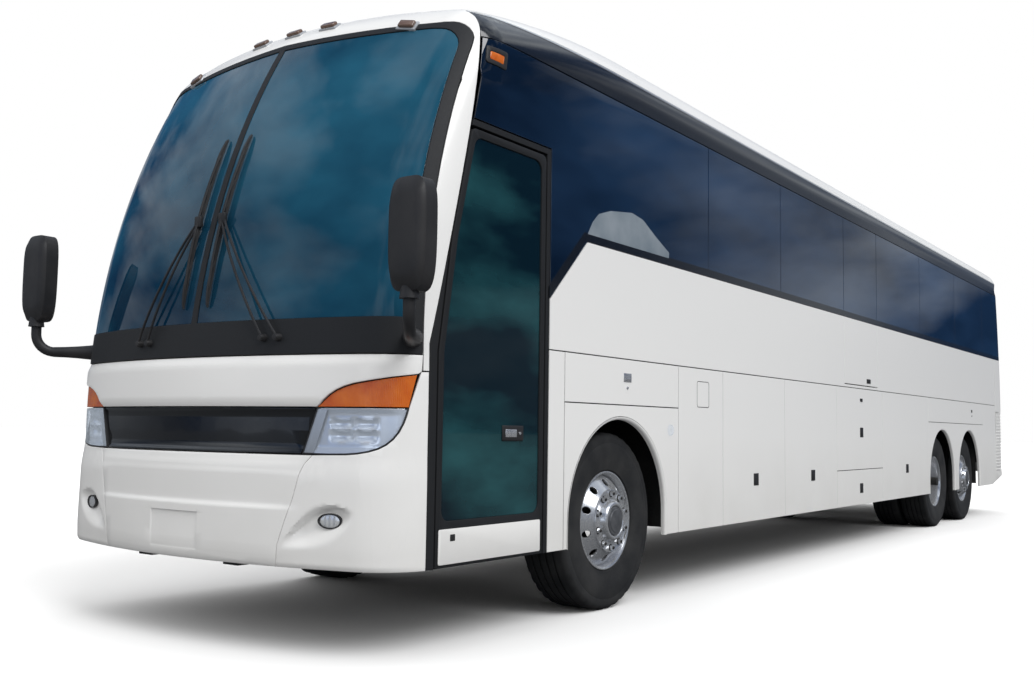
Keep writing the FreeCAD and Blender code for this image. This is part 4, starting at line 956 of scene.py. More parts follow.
def roofShell():
    edge = [(y, roofV(body["stripTopZ"], y)) for y in spread(row(-0.82), row(0.2), 0.2) + [row(10.8)]]
    outline = [(y, -v) for y, v in edge] + [(y, v) for y, v in edge[::-1]]
    run = roofEnd["bowRun"]
    cuts = spread(-run, run, 0.16) + [side * (run + step) for side in (-1, 1) for step in spread(0, 0.38, 0.035)]
    return sheet("roof", outline, thickness=0.045, gap=0.006, grid=(spread(row(-0.82), row(0.2), 0.12), cuts))


finishPiece("roofSkin", roofShell(), paint, replaces=["roof"], normals=True)


# Front end

front = {
    "cowlTopZ": 1.6,
    "noseTopZ": 1.425,
    "screenTopZ": 3.25,
    "screenFall": 0.05,      # how far the screen's head drops towards its corners
    "gasket": 0.05,
    "post": 0.046,
}


def screenHalf(z):
    return 1.268 - 0.046 * (z - 1.6) / 1.65


def screenOutline(shrink, foot=1.6, corner=0.13):
    # Left-turning outline of the windscreen opening in front view
    def half(z):
        return screenHalf(z) - shrink

    top = front["screenTopZ"] - shrink * 0.85
    fall = front["screenFall"]
    centreX, centreZ = half(3.05) - corner, top - fall - corner + 0.008
    points = [(-half(foot), foot), (half(foot), foot)]
    points += [(half(z), z) for z in spread(foot, centreZ, 0.07)[1:]]
    for k in range(1, 7):
        turn = math.pi / 2 * k / 6 * 0.94
        points.append((centreX + corner * math.cos(turn), centreZ + corner * math.sin(turn)))
    for x in spread(centreX - 0.04, 0.0, 0.1):
        points.append((x, top - fall * (x / 1.2) ** 2))
    right = [(-x, z) for x, z in points[2:-1]][::-1]
    return points + right


def paneOutline(side):
    # One pane of the windscreen: the opening less the gasket, on one side of the post
    foot = front["cowlTopZ"] + 0.004
    whole = screenOutline(front["gasket"], foot)
    post = front["post"] / 2
    top = front["screenTopZ"] - front["gasket"] * 0.85
    if side > 0:
        return [(post, foot)] + [p for p in whole if p[0] > post] + [(post, top)]
    kept = [p for p in whole if p[0] < -post]
    return [(-post, top)] + kept[1:] + kept[:1] + [(-post, foot)]


screenPlaces = [0.15, 0.3, 0.45, 0.6, 0.75, 0.9, 1.0, 1.04, 1.08, 1.12, 1.15, 1.18, 1.2, 1.22, 1.235, 1.25, 1.262]
screenCuts = ([-x for x in screenPlaces] + screenPlaces + [0.0], spread(1.45, 3.25, 0.12))


def surroundSheet():
    low = front["noseTopZ"]
    outline = screenOutline(0.0)
    half = screenHalf(low)
    outline = [(-half, low), (half, low)] + outline[1:] + [outline[0]]
    return sheet("front", outline, [paneOutline(1), paneOutline(-1)], thickness=0.025, gap=0.004, edge=0.004,
                 lift=0.002,
                 grid=screenCuts)


def screenPanes():
    kind = dict(thickness=0.008, gap=-0.002, edge=0.001, lift=-0.004, grid=screenCuts)
    return joined([sheet("front", paneOutline(1), **kind), sheet("front", paneOutline(-1), **kind)])


finishPiece("screenSurround", surroundSheet(), sealRubber, replaces=["screen_surround"],
            normals=True)
finishPiece("windscreen", screenPanes(), screenGlass, replaces=["glazing"], normals=True)


def roofPatch(where, sBack, wEnd, edgeY, cuts):
    # Crown of an end cap, from the top of its wrap back to the roof panel
    edge = [(spot.x, spot.y) for spot in (wrapPoint(where, s, wEnd) for s in spread(-sBack, sBack, 0.05))]
    edge[0], edge[-1] = (edge[0][0], edgeY), (edge[-1][0], edgeY)
    return sheet("top", edge, thickness=0.03, gap=0.0, edge=0.0004, grid=(spread(-1.0, 1.0, 0.1), cuts))


def capSheets():
    # White frame round the windscreen: the wrap round the front, then the roof panel above it
    wEnd = fanFoot["nose"] + fanDepth * math.pi / 2
    low = 1.35
    outer = []
    for z in spread(low, 1.48, 0.06) + spread(1.48, 2.85, 0.1)[1:] + spread(2.851, 3.3, 0.05):
        outer.append(wrapPlace("nose", "side", row(capLine(z)), z))
    for y in spread(capLine(3.3), -0.82, 0.08)[1:]:
        outer.append(wrapPlace("nose", "side", row(y), body["stripTopZ"]))
    sBack = outer[-1][0]
    for w in spread(outer[-1][1], wEnd, 0.04)[1:]:
        outer.append((sBack, w))
    inner = [(screenHalf(low), low)] + screenOutline(0.0)[1:]
    inner = [wrapPlace("nose", "front", x, z) for x, z in inner if x > 1e-6]
    inner.append(wrapPlace("nose", "front", 0.0001, front["screenTopZ"]))
    right = [(-s, w) for s, w in outer]
    innerRight = [(-s, w) for s, w in inner[:-1]]
    outline = outer + right[::-1] + innerRight + [(0.0, inner[-1][1])] + inner[:-1][::-1]
    run, bend = noseEnd["run"], noseEnd["bowRun"]
    bends = spread(bend, run + 0.06, 0.035) + spread(run + 0.1, sBack, 0.1)
    cuts = spread(-bend, bend, 0.12) + [side * s for side in (-1, 1) for s in bends]
    wrap = sheet("nose", outline, thickness=0.03, gap=0.0, edge=0.002,
                 grid=(cuts, spread(1.5, 2.8, 0.13) + spread(fanFoot["nose"], wEnd, 0.025)))
    return joined([wrap, roofPatch("nose", sBack, wEnd, row(-0.823), spread(-6.2, row(-0.9), 0.08))])


finishPiece("frontCap", capSheets(), paint, replaces=["front_cap"], normals=True)
print("front cap ready")


# Nose, bumper and lamps

lamps = {
    "innerTop": (0.842, 1.172),
    "innerFoot": (0.767, 0.948),
    "outer": [(0.9, 0.9465), (1.0, 0.9485), (1.06, 0.954), (1.11, 0.9635), (1.15, 0.9775), (1.18, 0.997),
              (1.204, 1.024),
              (1.222, 1.058), (1.235, 1.1), (1.243, 1.14), (1.247, 1.172)],
    "amberTop": [(1.264, 1.331), (1.19, 1.314), (1.09, 1.294), (1.03, 1.283), (0.985, 1.27), (0.945, 1.253),
                 (0.91, 1.231),
                 (0.88, 1.205), (0.86, 1.185)],
    "bowlDepth": 0.014,
    "bowls": [(0.978, 1.038), (1.106, 1.038), (0.978, 1.096), (1.106, 1.096)],
    "fog": (0.931, 0.64),
    "fogSize": (0.062, 0.036),
}
bumper = {
    "footZ": 0.413,
    "seam": [(0.655, 0.413), (0.664, 0.52), (0.697, 0.62), (0.738, 0.74), (0.77, 0.86), (0.792, 0.905),
             (0.828, 0.9445)],
    "face": [(0.413, 0.012), (0.435, 0.023), (0.5, 0.029), (0.686, 0.0285), (0.708, 0.0165), (0.72, 0.016),
             (0.85, 0.0165), (0.885, 0.012), (0.93, 0.001), (0.945, -0.003), (1.5, 0.0)],
    "cornerFace": [(0.413, 0.012), (0.435, 0.023), (0.52, 0.026), (0.84, 0.02), (0.88, 0.013), (0.94, 0.003),
                   (1.0, 0.0), (1.5, 0.0)],
    "plate": (-0.22, 0.15, 0.46, 0.65),
    "plateDepth": 0.009,
    "leafDepth": 0.034,
}


def stepBetween(low, high, value):
    share = min(1, max(0, (value - low) / (high - low)))
    return share * share * (3 - 2 * share)


def throughPoints(points, place):
    for (a, first), (b, second) in zip(points[:-1], points[1:]):
        if place <= b:
            return first + (second - first) * stepBetween(a, b, place)
    return points[-1][1]


def noseOutline(points):
    return [wrapPlace("nose", "front", x, z) for x, z in points]


def noseEdge(z):
    return wrapPlace("nose", "side", row(capLine(z)), z)


def mirroredOutline(points):
    return [(-s, w) for s, w in points][::-1]


def sided(points, side):
    return points if side > 0 else mirroredOutline(points)


def leaf(s, w):
    # Scooped hollow round the fog lamp: a crisp brow above, fading out below, drawn to a tip at the seam
    along, across = (s - 0.68) * 0.922 + (w - 0.508) * 0.387, (w - 0.508) * 0.922 - (s - 0.68) * 0.387
    length = 0.43
    if not 0 < along < length:
        return 0.0
    share = along / length
    brow = 0.104 * math.sin(math.pi * share ** 1.3) ** 0.75
    fall = (brow - across) / (1.75 * brow)
    if not 0 < fall < 1:
        return 0.0
    below = stepBetween(0, 0.2, fall) * (1 - stepBetween(0.45, 1, fall))
    return below * stepBetween(0, 0.35, share) * (1 - stepBetween(0.8, 1, share))


def bumperRelief(s, w):
    reach = abs(s)
    fade = 1 - stepBetween(noseEnd["bowRun"] - 0.05, noseEnd["run"] + 0.02, reach)
    blend = stepBetween(0.62, 0.8, reach)
    raised = throughPoints(bumper["face"], w) * (1 - blend) + throughPoints(bumper["cornerFace"], w) * blend
    raised -= bumper["leafDepth"] * leaf(reach, w)
    x0, x1, z0, z1 = bumper["plate"]
    edge = 0.007
    inPlate = (stepBetween(x0, x0 + edge, s) * (1 - stepBetween(x1 - edge, x1, s))
               * stepBetween(z0, z0 + edge, w) * (1 - stepBetween(z1 - edge, z1, w)))
    return raised * fade - bumper["plateDepth"] * inPlate * (0.2 + 0.8 * stepBetween(z0, z1, w))


def edgeSteps(low, high):
    # Cuts where the plate recess steps down
    return [low + k * 0.0035 for k in range(3)] + [high - k * 0.0035 for k in range(3)]


def bumperSheets():
    seam = noseOutline(bumper["seam"])
    x0, x1, z0, z1 = bumper["plate"]
    levels = spread(0.43, 0.93, 0.04) + [0.688, 0.696, 0.704, 0.712, 0.85, 0.865, 0.88] + edgeSteps(z0, z1)
    columns = sorted(set(spread(-0.76, 0.76, 0.08) + edgeSteps(x0, x1)))
    middle = mirroredOutline(seam) + seam
    parts = [sheet("nose", middle, thickness=0.012, gap=0.003, edge=0.002, grid=(columns, sorted(set(levels))),
                   relief=bumperRelief)]
    sides = [noseEdge(z) for z in (bumper["footZ"], 0.8, 1.2, 1.345)]
    lamp = noseOutline([(1.271, 1.344)] + lamps["outer"][::-1])
    footLine = noseOutline([(x, bumper["footZ"]) for x in (0.8, 0.9, 1.0, 1.08, 1.15, 1.2, 1.25)])
    corner = [seam[0]] + footLine + sides + lamp + seam[1:][::-1]
    cuts = (spread(0.66, 1.13, 0.012) + spread(1.16, 1.8, 0.04), spread(0.43, 0.75, 0.011) + spread(0.78, 1.3, 0.04))
    parts.append(sheet("nose", corner, thickness=0.012, gap=0.003, edge=0.002, grid=cuts, relief=bumperRelief))
    other = ([-s for s in cuts[0]][::-1], cuts[1])
    parts.append(sheet("nose", mirroredOutline(corner), thickness=0.012, gap=0.003, edge=0.002, grid=other,
                       relief=bumperRelief))
    return joined(parts)


def noseRelief(s, w):
    # Fuller in the middle, rolled in at its top edge
    fade = 1 - stepBetween(noseEnd["bowRun"], noseEnd["run"], abs(s))
    return (0.012 * stepBetween(1.172, 1.21, w) - 0.016 * stepBetween(1.375, 1.425, w)) * fade


def noseSheet():
    top = [wrapPlace("nose", "front", x, 1.425) for x in (1.273, 1.2, 1.0, 0.7, 0.4, 0.1)]
    edge = noseOutline([(0.1, 1.172), (0.5, 1.172), lamps["innerTop"]] + lamps["amberTop"][::-1] + [(1.272, 1.343)])
    half = edge + top
    outline = half + [(-s, w) for s, w in half[::-1]]
    return sheet("nose", outline, thickness=0.012, gap=0.004, edge=0.003,
                 grid=(spread(-1.3, 1.3, 0.06) + [-1.35, 1.35, -1.42, 1.42], spread(1.19, 1.41, 0.018)),
                 relief=noseRelief)


def grilleRelief(s, w):
    # Smoked panel with a raised rim and a shallow dish
    inside = stepBetween(0.955, 0.975, w) * (1 - stepBetween(1.145, 1.165, w))
    return -0.008 * inside - 0.006 * inside * math.cos(s / 0.84 * math.pi / 2)


def grilleSheet():
    half = noseOutline([(0.1, 0.947), (0.4, 0.947), (0.76, 0.947), (0.836, 1.17), (0.6, 1.17), (0.3, 1.17),
                        (0.1, 1.17)])
    outline = half + [(-s, w) for s, w in half[::-1]]
    return sheet("nose", outline, thickness=0.012, gap=0.004, edge=0.002, lift=-0.006,
                 grid=(spread(-0.8, 0.8, 0.1),
                       [0.955, 0.96, 0.965, 0.97, 0.975, 1.0, 1.06, 1.12, 1.145, 1.15, 1.155, 1.16]),
                 relief=grilleRelief)


finishPiece("bumperShell", bumperSheets(), paint, replaces=["bumper"], smooth=32)
finishPiece("nosePanel", noseSheet(), paint, replaces=["nose_panel"], smooth=32)
finishPiece("grillePanel", grilleSheet(), trimBlack, replaces=["grille"], smooth=40)


def bowlRelief(s, w):
    # Metallised tray behind the lens, pressed into four bowls
    side = abs(s)
    depth = -lamps["bowlDepth"] * stepBetween(0.0, 0.035, w - 0.95) * (1 - stepBetween(1.14, 1.168, w))
    depth *= stepBetween(0.80, 0.86, side) * (1 - stepBetween(1.2, 1.3, side))
    for x, z in lamps["bowls"]:
        u, v = (side - x) / 0.06, (w - z) / 0.027
        reach = max(abs(u), abs(v))
        if reach < 1:
            dish = 1 - (0.6 * (u * u + v * v) + 0.4 * reach * reach) / 1.6
            depth -= 0.02 * dish * stepBetween(0, 0.15, 1 - reach)
    return depth


def lampOutlines(side):
    clear = noseOutline([lamps["innerTop"], lamps["innerFoot"]] + lamps["outer"])
    amber = noseOutline([lamps["innerTop"], lamps["outer"][-1]] + lamps["amberTop"])
    return sided(clear, side), sided(amber, side)


def lampTray(clear, side):
    cuts = (sorted(side * s for s in spread(0.78, 1.4, 0.012)), spread(0.95, 1.17, 0.009))
    bowl = sheet("nose", clear, thickness=0.004, gap=0.008, edge=0.001, lift=-0.008, grid=cuts, relief=bowlRelief,
                 material=0)
    wedge = sided(noseOutline([(0.846, 1.168), (0.774, 0.953), (0.83, 0.953), (0.9, 1.168)]), side)
    insert = sheet("nose", wedge, thickness=0.004, gap=0.002, edge=0.001, lift=-0.005, material=1)
    ring = clear if turnsLeft(clear) else clear[::-1]
    rim = sheet("nose", ring, [inset(ring, 0.009)], thickness=0.03, gap=0.003, edge=0.001, lift=-0.001, material=2)
    return joined([bowl, insert, rim])


for side, name in ((1, "left"), (-1, "right")):
    clear, amber = lampOutlines(side)
    finishPiece("headlampTray_" + name, lampTray(clear, side), [chrome, lampGrey, mouldedBlack], smooth=40)
    lens = sheet("nose", clear, thickness=0.003, gap=0.012, edge=0.001, lift=-0.001,
                 grid=(spread(-1.4, 1.4, 0.05), ()))
    finishPiece("headlampLens_" + name, lens, clearLens, replaces=["headlamps"], normals=True)
    flasher = sheet("nose", amber, thickness=0.02, gap=0.006, edge=0.002, lift=-0.001,
                    grid=(spread(-1.4, 1.4, 0.05), spread(1.18, 1.32, 0.03)))
    finishPiece("indicatorLens_" + name, flasher, amberLens, replaces=["signal_lamps"],
                normals=True)


def ellipse(x, z, width, height, steps=28):
    turns = [math.tau * k / steps for k in range(steps)]
    return [(x + width * math.cos(turn), z + height * math.sin(turn)) for turn in turns]


def fogLamp(side):
    x, z = lamps["fog"]
    width, height = lamps["fogSize"]
    parts = []
    for scale, lift, deep, material, hole in ((1.0, 0.0085, 0.03, 0, 0.86), (0.86, 0.002, 0.004, 1, None)):
        outline = sided(noseOutline(ellipse(x, z, width * scale, height * scale)), side)
        holes = [sided(noseOutline(ellipse(x, z, width * hole, height * hole)), side)] if hole else []
        parts.append(sheet("nose", outline, holes, thickness=deep, gap=0, edge=0.002, lift=lift, material=material))
    for k in (-1, 0, 1):
        fin = sided(noseOutline(ellipse(x + k * 0.024, z, 0.004, height * (0.62 if k else 0.74), 12)), side)
        parts.append(sheet("nose", fin, thickness=0.006, gap=0, edge=0.001, lift=0.006, material=2))
    return joined(parts)


for side, name in ((1, "left"), (-1, "right")):
    finishPiece("fogLamp_" + name, fogLamp(side), [mouldedBlack, chrome, lampGrey], smooth=40)


def roofMarkers():
    bm = bmesh.new()
    for x in (-0.856, -0.276, 0.0, 0.276, 0.856):
        spot = skinPoint("top", x, row(-1.553))
        normal = fieldNormal(*spot)
        before = set(bm.verts)
        addBox(bm, (-0.0625, -0.032, -0.02), (0.0625, 0.032, 0.008), 0.004, 2, 1)
        addBox(bm, (-0.05, -0.024, 0.004), (0.05, 0.024, 0.026), 0.01, 4, 0)
        tilt = Vector((0, 0, 1)).rotation_difference(normal).to_matrix().to_4x4()
        placed(bm, [v for v in bm.verts if v not in before], Matrix.Translation(spot) @ tilt)
    return bm


finishPiece("roofMarkers", roofMarkers(), [smokedLens, lampGrey], replaces=["signal_lamps"],
            smooth=40)
print("nose ready")


# Doors

entry = {
    "outline": [(-1.775, 0.413), (-0.858, 0.413), (-0.858, 2.602), (-1.54, 2.602), (-1.684, 2.03), (-1.775, 1.45)],
    "rim": 0.048,
    "glassFootZ": 0.64,
    "barZ": (0.95, 1.0),
    "kick": [(-1.752, 0.43), (-0.885, 0.43), (-0.885, 0.6), (-1.752, 0.6)],
    "handle": (-1.145, 1.06),
}


def doorSurround():
    strip = rows([(-1.829, 0.413), (-1.779, 0.413), (-1.779, 1.45), (-1.71, 1.92), (capLine(1.9), 1.9),
                  (-1.829, 1.48)])
    arch = rows([(capLine(2.61) + 0.008, 2.61), (-0.853, 2.61), (-0.853, 0.413), (-0.814, 0.413), (-0.814, 2.646),
                 (capLine(2.646) + 0.008, 2.646)])
    cuts = (spread(-6.5, -6.2, 0.03), spread(0.6, 2.6, 0.2))
    return joined([sheet("side", part, thickness=0.03, gap=0.003, edge=0.003, grid=cuts) for part in (strip, arch)])


def entryDoor():
    leaf = rounded(rows(entry["outline"]), [0, 0, 0.04, 0.04, 0, 0])
    foot = entry["glassFootZ"]
    rim = entry["rim"]
    y0 = row(-1.775 + rim)
    upper = [(y0, foot), (row(-0.858 - rim), foot), (row(-0.858 - rim), 2.602 - rim),
             (row(-1.552 + rim), 2.602 - rim),
             (row(-1.684 + rim), 2.03), (y0, 1.45)]
    opening = rounded(upper, [0.05, 0.05, 0.06, 0.06, 0, 0])
    cuts = (spread(-6.5, -6.1, 0.04), spread(0.7, 2.5, 0.3))
    frameSheet = sheet("side", leaf, [opening], thickness=0.035, gap=0.006, edge=0.004, grid=cuts)
    glass = sheet("side", opening, thickness=0.006, gap=-0.004, edge=0.001, lift=-0.008, grid=cuts)
    kick = sheet("side", rounded(rows(entry["kick"]), 0.012), thickness=0.006, gap=0.002, edge=0.003, lift=0.003,
                 grid=cuts)
    low, high = entry["barZ"]
    bar = sheet("side", [(y0, low), (row(-0.858 - rim), low), (row(-0.858 - rim), high), (y0, high)], thickness=0.03,
                gap=0.0,
                edge=0.004, lift=-0.012, grid=cuts)
    return frameSheet, glass, kick, bar


frameSheet, doorGlass, kick, bar = entryDoor()
details = bmesh.new()
y, z = entry["handle"]
addBox(details, (bodyHalf - 0.01, row(y) - 0.095, z - 0.04), (bodyHalf, row(y) + 0.095, z + 0.04), 0.006, 3, 1)
addBox(details, (bodyHalf - 0.006, row(y) - 0.07, z - 0.022), (bodyHalf + 0.003, row(y) + 0.03, z + 0.02), 0.004, 3,
       3)
addLathe(details, [(-0.004, 0.0), (0.002, 0.0), (0.003, 0.008), (-0.004, 0.01)], 16, (bodyHalf, row(y) + 0.06, z),
         "X", 3)
addBox(details, (bodyHalf - 0.004, row(-1.665), 0.54), (bodyHalf + 0.006, row(-1.627), 0.572), 0.003, 2, 1)
for part, index in ((kick, 2), (bar, 1)):
    for face in part.faces:
        face.material_index = index
finishPiece("entryDoorLeaf", joined([frameSheet, kick, bar, details]), [sealRubber, mouldedBlack, paint, wheelMetal],
            "entry_door",
            ["entry_door"], smooth=40)
finishPiece("entryDoorGlass", doorGlass, doorGlassFinish, "entry_door", ["entry_door_glass"], normals=True)
finishPiece("doorSurround", doorSurround(), sealRubber, normals=True)


lift = {
    "span": (4.2, 5.225),
    "footZ": 1.555,
    "handle": (4.926, 1.603),
}
liftPanel = sideBox(lift["span"][0], lift["footZ"], lift["span"][1], body["beltZ"], False)
finishPiece("liftDoorPanel", liftPanel, paint, "lift_door", ["lift_door"], normals=True)
liftPane = sidePane(*lift["span"], False)
finishPiece("liftDoorGlass", liftPane, sideGlass, "lift_door", ["lift_door_glass"], normals=True)
liftHandle = bmesh.new()
y, z = lift["handle"]
addBox(liftHandle, (bodyHalf - 0.004, row(y) - 0.06, z - 0.022), (bodyHalf + 0.004, row(y) + 0.06, z + 0.022), 0.003,
       2)
addBox(liftHandle, (bodyHalf, row(y) - 0.045, z - 0.012), (bodyHalf + 0.009, row(y) + 0.03, z + 0.012), 0.003, 2)
finishPiece("liftDoorHandle", liftHandle, mouldedBlack, "lift_door", smooth=40)
print("doors ready")


# Wheels

wheel = {
    "centreX": 1.06,
    "centreZ": 0.535,
    "twinStep": 0.3323,      # outer to inner tyre of a pair
    "steps": 120,
    "notchEvery": 3,
    "notchDepth": 0.007,
    "rootX": 0.085,          # where the disc leaves the rim
    "rootRadius": 0.2745,
    "discThick": 0.013,
    "faceRadius": 0.19,
    "coneSlope": 0.84,
    "handHoles": 10,
    "handHoleRadius": 0.022,
    "handHoleCircle": 0.229,
    "nutCircle": 0.1625,
    "nutRadius": 0.0165,
}
tyreFlank = [(0.112, 0.2885), (0.1205, 0.2895), (0.1205, 0.3), (0.126, 0.3055), (0.1335, 0.3085), (0.1345, 0.3145),
             (0.140, 0.333),
             (0.1468, 0.366), (0.1508, 0.395), (0.153, 0.42), (0.1526, 0.445), (0.1503, 0.468), (0.1492, 0.4705),
             (0.1497, 0.4735),
             (0.1478, 0.5), (0.1455, 0.51), (0.139, 0.5215), (0.131, 0.5292), (0.122, 0.533), (0.081, 0.535),
             (0.080, 0.524),
             (0.070, 0.524), (0.069, 0.535), (0.031, 0.535), (0.030, 0.524), (0.020, 0.524), (0.019, 0.535)]


def addTyre(bm, x, y):
    steps = wheel["steps"]
    profile = tyreFlank + [(-along, radius) for along, radius in tyreFlank[::-1]]
    before = set(bm.verts)
    addLathe(bm, profile, steps, (x, y, wheel["centreZ"]))
    for vert in set(bm.verts) - before:
        radial = Vector((0, vert.co.y - y, vert.co.z - wheel["centreZ"]))
        share = math.atan2(radial.y, radial.z) / math.tau * steps
        if round(share) % wheel["notchEvery"] == 0 and 0.115 < abs(vert.co.x - x) < 0.142 and radial.length > 0.515:
            vert.co -= radial.normalized() * wheel["notchDepth"]


def discSheet(x, y, side, isReversed):
    # Pierced cone between rim and face, drawn flat and bent to the cone
    steps = 80
    inner, root, hole = wheel["faceRadius"] - 0.003, wheel["rootRadius"], wheel["handHoleRadius"]
    holes = [ellipse(0, 0, inner, inner, steps)]
    for k in range(wheel["handHoles"]):
        turn = math.tau * (k + 0.5) / wheel["handHoles"]
        circle = wheel["handHoleCircle"]
        holes.append(ellipse(circle * math.cos(turn), circle * math.sin(turn), hole, hole, 20))
    bm = flatSlab(ellipse(0, 0, root, root, steps), holes, thickness=wheel["discThick"], gap=0, edge=0.0018)
    normalLayer = bm.verts.layers.float_vector.new("surfaceNormal")
    skinLayer = bm.verts.layers.int.new("isSkin")
    slope = wheel["coneSlope"]
    size = math.hypot(1, slope)
    for vert in bm.verts:
        u, v, depth = vert.co
        reach = math.hypot(u, v)
        out = (wheel["rootRadius"] - reach) * slope
        along = wheel["rootX"] + out
        if isReversed:
            along = wheel["discThick"] * size - along
            normal = Vector((1 / size, -slope / size * u / reach, -slope / size * v / reach))
        else:
            normal = Vector((1 / size, slope / size * u / reach, slope / size * v / reach))
        spot = Vector((along, u, v)) + normal * depth
        vert[skinLayer] = int(abs(depth) < 1e-6)
        vert[normalLayer] = Vector((side * normal.x, normal.y, normal.z))
        vert.co = (x + side * spot.x, y + spot.y, wheel["centreZ"] + spot.z)
    if side < 0:
        bmesh.ops.reverse_faces(bm, faces=bm.faces[:])
    return bm


def addNut(bm, x, y, z, side, radius, length, material):
    made = bmesh.ops.create_cone(bm, cap_ends=True, segments=6, radius1=radius, radius2=radius * 0.93, depth=length)
    placed(bm, made["verts"], Matrix.Translation((x + side * length / 2, y, z)) @ Matrix.Rotation(side * math.pi / 2,
                                                                                                  4, "Y"))
    for face in {f for v in made["verts"] for f in v.link_faces}:
        face.material_index = material


def rimProfile():
    # Closed section of the rim: flanges, seats, the well and the barrel
    outer = [(0.118, 0.2875), (0.121, 0.297), (0.1245, 0.299), (0.1285, 0.2975), (0.1295, 0.291), (0.125, 0.2838),
             (0.112, 0.279),
             (0.098, 0.2757), (0.084, 0.2742)]
    return [(-along, radius) for along, radius in outer[::-1]] + [(-0.05, 0.2865), (0.05, 0.2865)] + outer


def mirroredProfile(profile, side):
    return [(side * along, radius) for along, radius in profile]


def singleWheel(x, y, side):
    # Front and tag wheel: convex disc, raised bolting face, hub ring and grey cap
    bm = bmesh.new()
    centre = (x, y, wheel["centreZ"])
    addLathe(bm, mirroredProfile(rimProfile(), side), 96, centre)
    face = [(0.136, 0.196), (0.1545, 0.1905), (0.158, 0.1885), (0.164, 0.1895), (0.1675, 0.188), (0.1685, 0.1845),
            (0.1665, 0.1815),
            (0.1645, 0.178), (0.1645, 0.128), (0.172, 0.1235), (0.183, 0.1205), (0.196, 0.113), (0.2005, 0.107),
            (0.2015, 0.1),
            (0.199, 0.094), (0.191, 0.0885), (0.17, 0.0875), (0.13, 0.0875), (0.13, 0.19)]
    addLathe(bm, mirroredProfile(face, side), 96, centre)
    cap = [(0.185, 0.088), (0.194, 0.0865), (0.1985, 0.0815), (0.2, 0.07), (0.2045, 0.066), (0.206, 0.05),
           (0.207, 0.0)]
    addLathe(bm, mirroredProfile([(0.16, 0.0), (0.16, 0.088)] + cap, side), 64, centre, material=1, isClosed=False)
    drum = [(0.05, 0.13), (0.058, 0.14), (0.058, 0.2), (0.045, 0.215), (-0.07, 0.215), (-0.07, 0.2), (0.03, 0.2),
            (0.04, 0.13)]
    addLathe(bm, mirroredProfile(drum, side), 48, centre, material=2)
    for k in range(10):
        turn = math.tau * k / 10
        spotY, spotZ = y + wheel["nutCircle"] * math.sin(turn), wheel["centreZ"] + wheel["nutCircle"] * math.cos(turn)
        base = x + side * 0.1645
        washer = [(-0.002, 0.0), (0.0016, 0.0), (0.0016, 0.0205), (0.0005, 0.0225), (-0.002, 0.0225)]
        addLathe(bm, mirroredProfile(washer, side), 20, (base, spotY, spotZ), material=2, isClosed=False)
        addNut(bm, base, spotY, spotZ, side, wheel["nutRadius"], 0.019, 0)
        stud = [(0.015, 0.0), (0.024, 0.0), (0.0255, 0.004), (0.0245, 0.0085), (0.015, 0.0095)]
        addLathe(bm, mirroredProfile(stud, side), 12, (base, spotY, spotZ), material=2, isClosed=False)
    return bm


def twinWheels(x, y, side):
    # Drive pair: outer disc turned inwards, so that the wheel shows a deep dish round the hub
    bm = bmesh.new()
    centre = (x, y, wheel["centreZ"])
    innerCentre = (x - side * wheel["twinStep"], y, wheel["centreZ"])
    addLathe(bm, mirroredProfile(rimProfile(), side), 96, centre)
    addLathe(bm, mirroredProfile(rimProfile(), side), 96, innerCentre)
    face = [(-0.147, 0.2), (-0.1455, 0.19), (-0.145, 0.12), (-0.156, 0.12), (-0.1605, 0.192)]
    addLathe(bm, mirroredProfile(face, side), 96, centre)
    inner = [(0.085, 0.2745), (0.1585, 0.19), (0.1655, 0.185), (0.1655, 0.14), (0.152, 0.14), (0.152, 0.18),
             (0.071, 0.2745)]
    addLathe(bm, mirroredProfile(inner, side), 64, innerCentre)
    hub = [(-0.15, 0.132), (-0.08, 0.128), (-0.066, 0.12), (-0.06, 0.11), (-0.06, 0.055), (-0.15, 0.055)]
    addLathe(bm, mirroredProfile(hub, side), 64, centre, material=1)
    for k in range(10):
        turn = math.tau * k / 10
        spotY, spotZ = y + wheel["nutCircle"] * math.sin(turn), wheel["centreZ"] + wheel["nutCircle"] * math.cos(turn)
        base = x - side * 0.1455
        addNut(bm, base, spotY, spotZ, side, wheel["nutRadius"], 0.02, 0)
        stud = [(0.015, 0.0), (0.034, 0.0), (0.035, 0.006), (0.034, 0.0095), (0.015, 0.0095)]
        addLathe(bm, mirroredProfile(stud, side), 12, (base, spotY, spotZ), material=2, isClosed=False)
    for k in range(8):
        turn = math.tau * (k + 0.5) / 8
        addNut(bm, x - side * 0.06, y + 0.088 * math.sin(turn), wheel["centreZ"] + 0.088 * math.cos(turn), side,
               0.0095, 0.009, 2)
    return bm


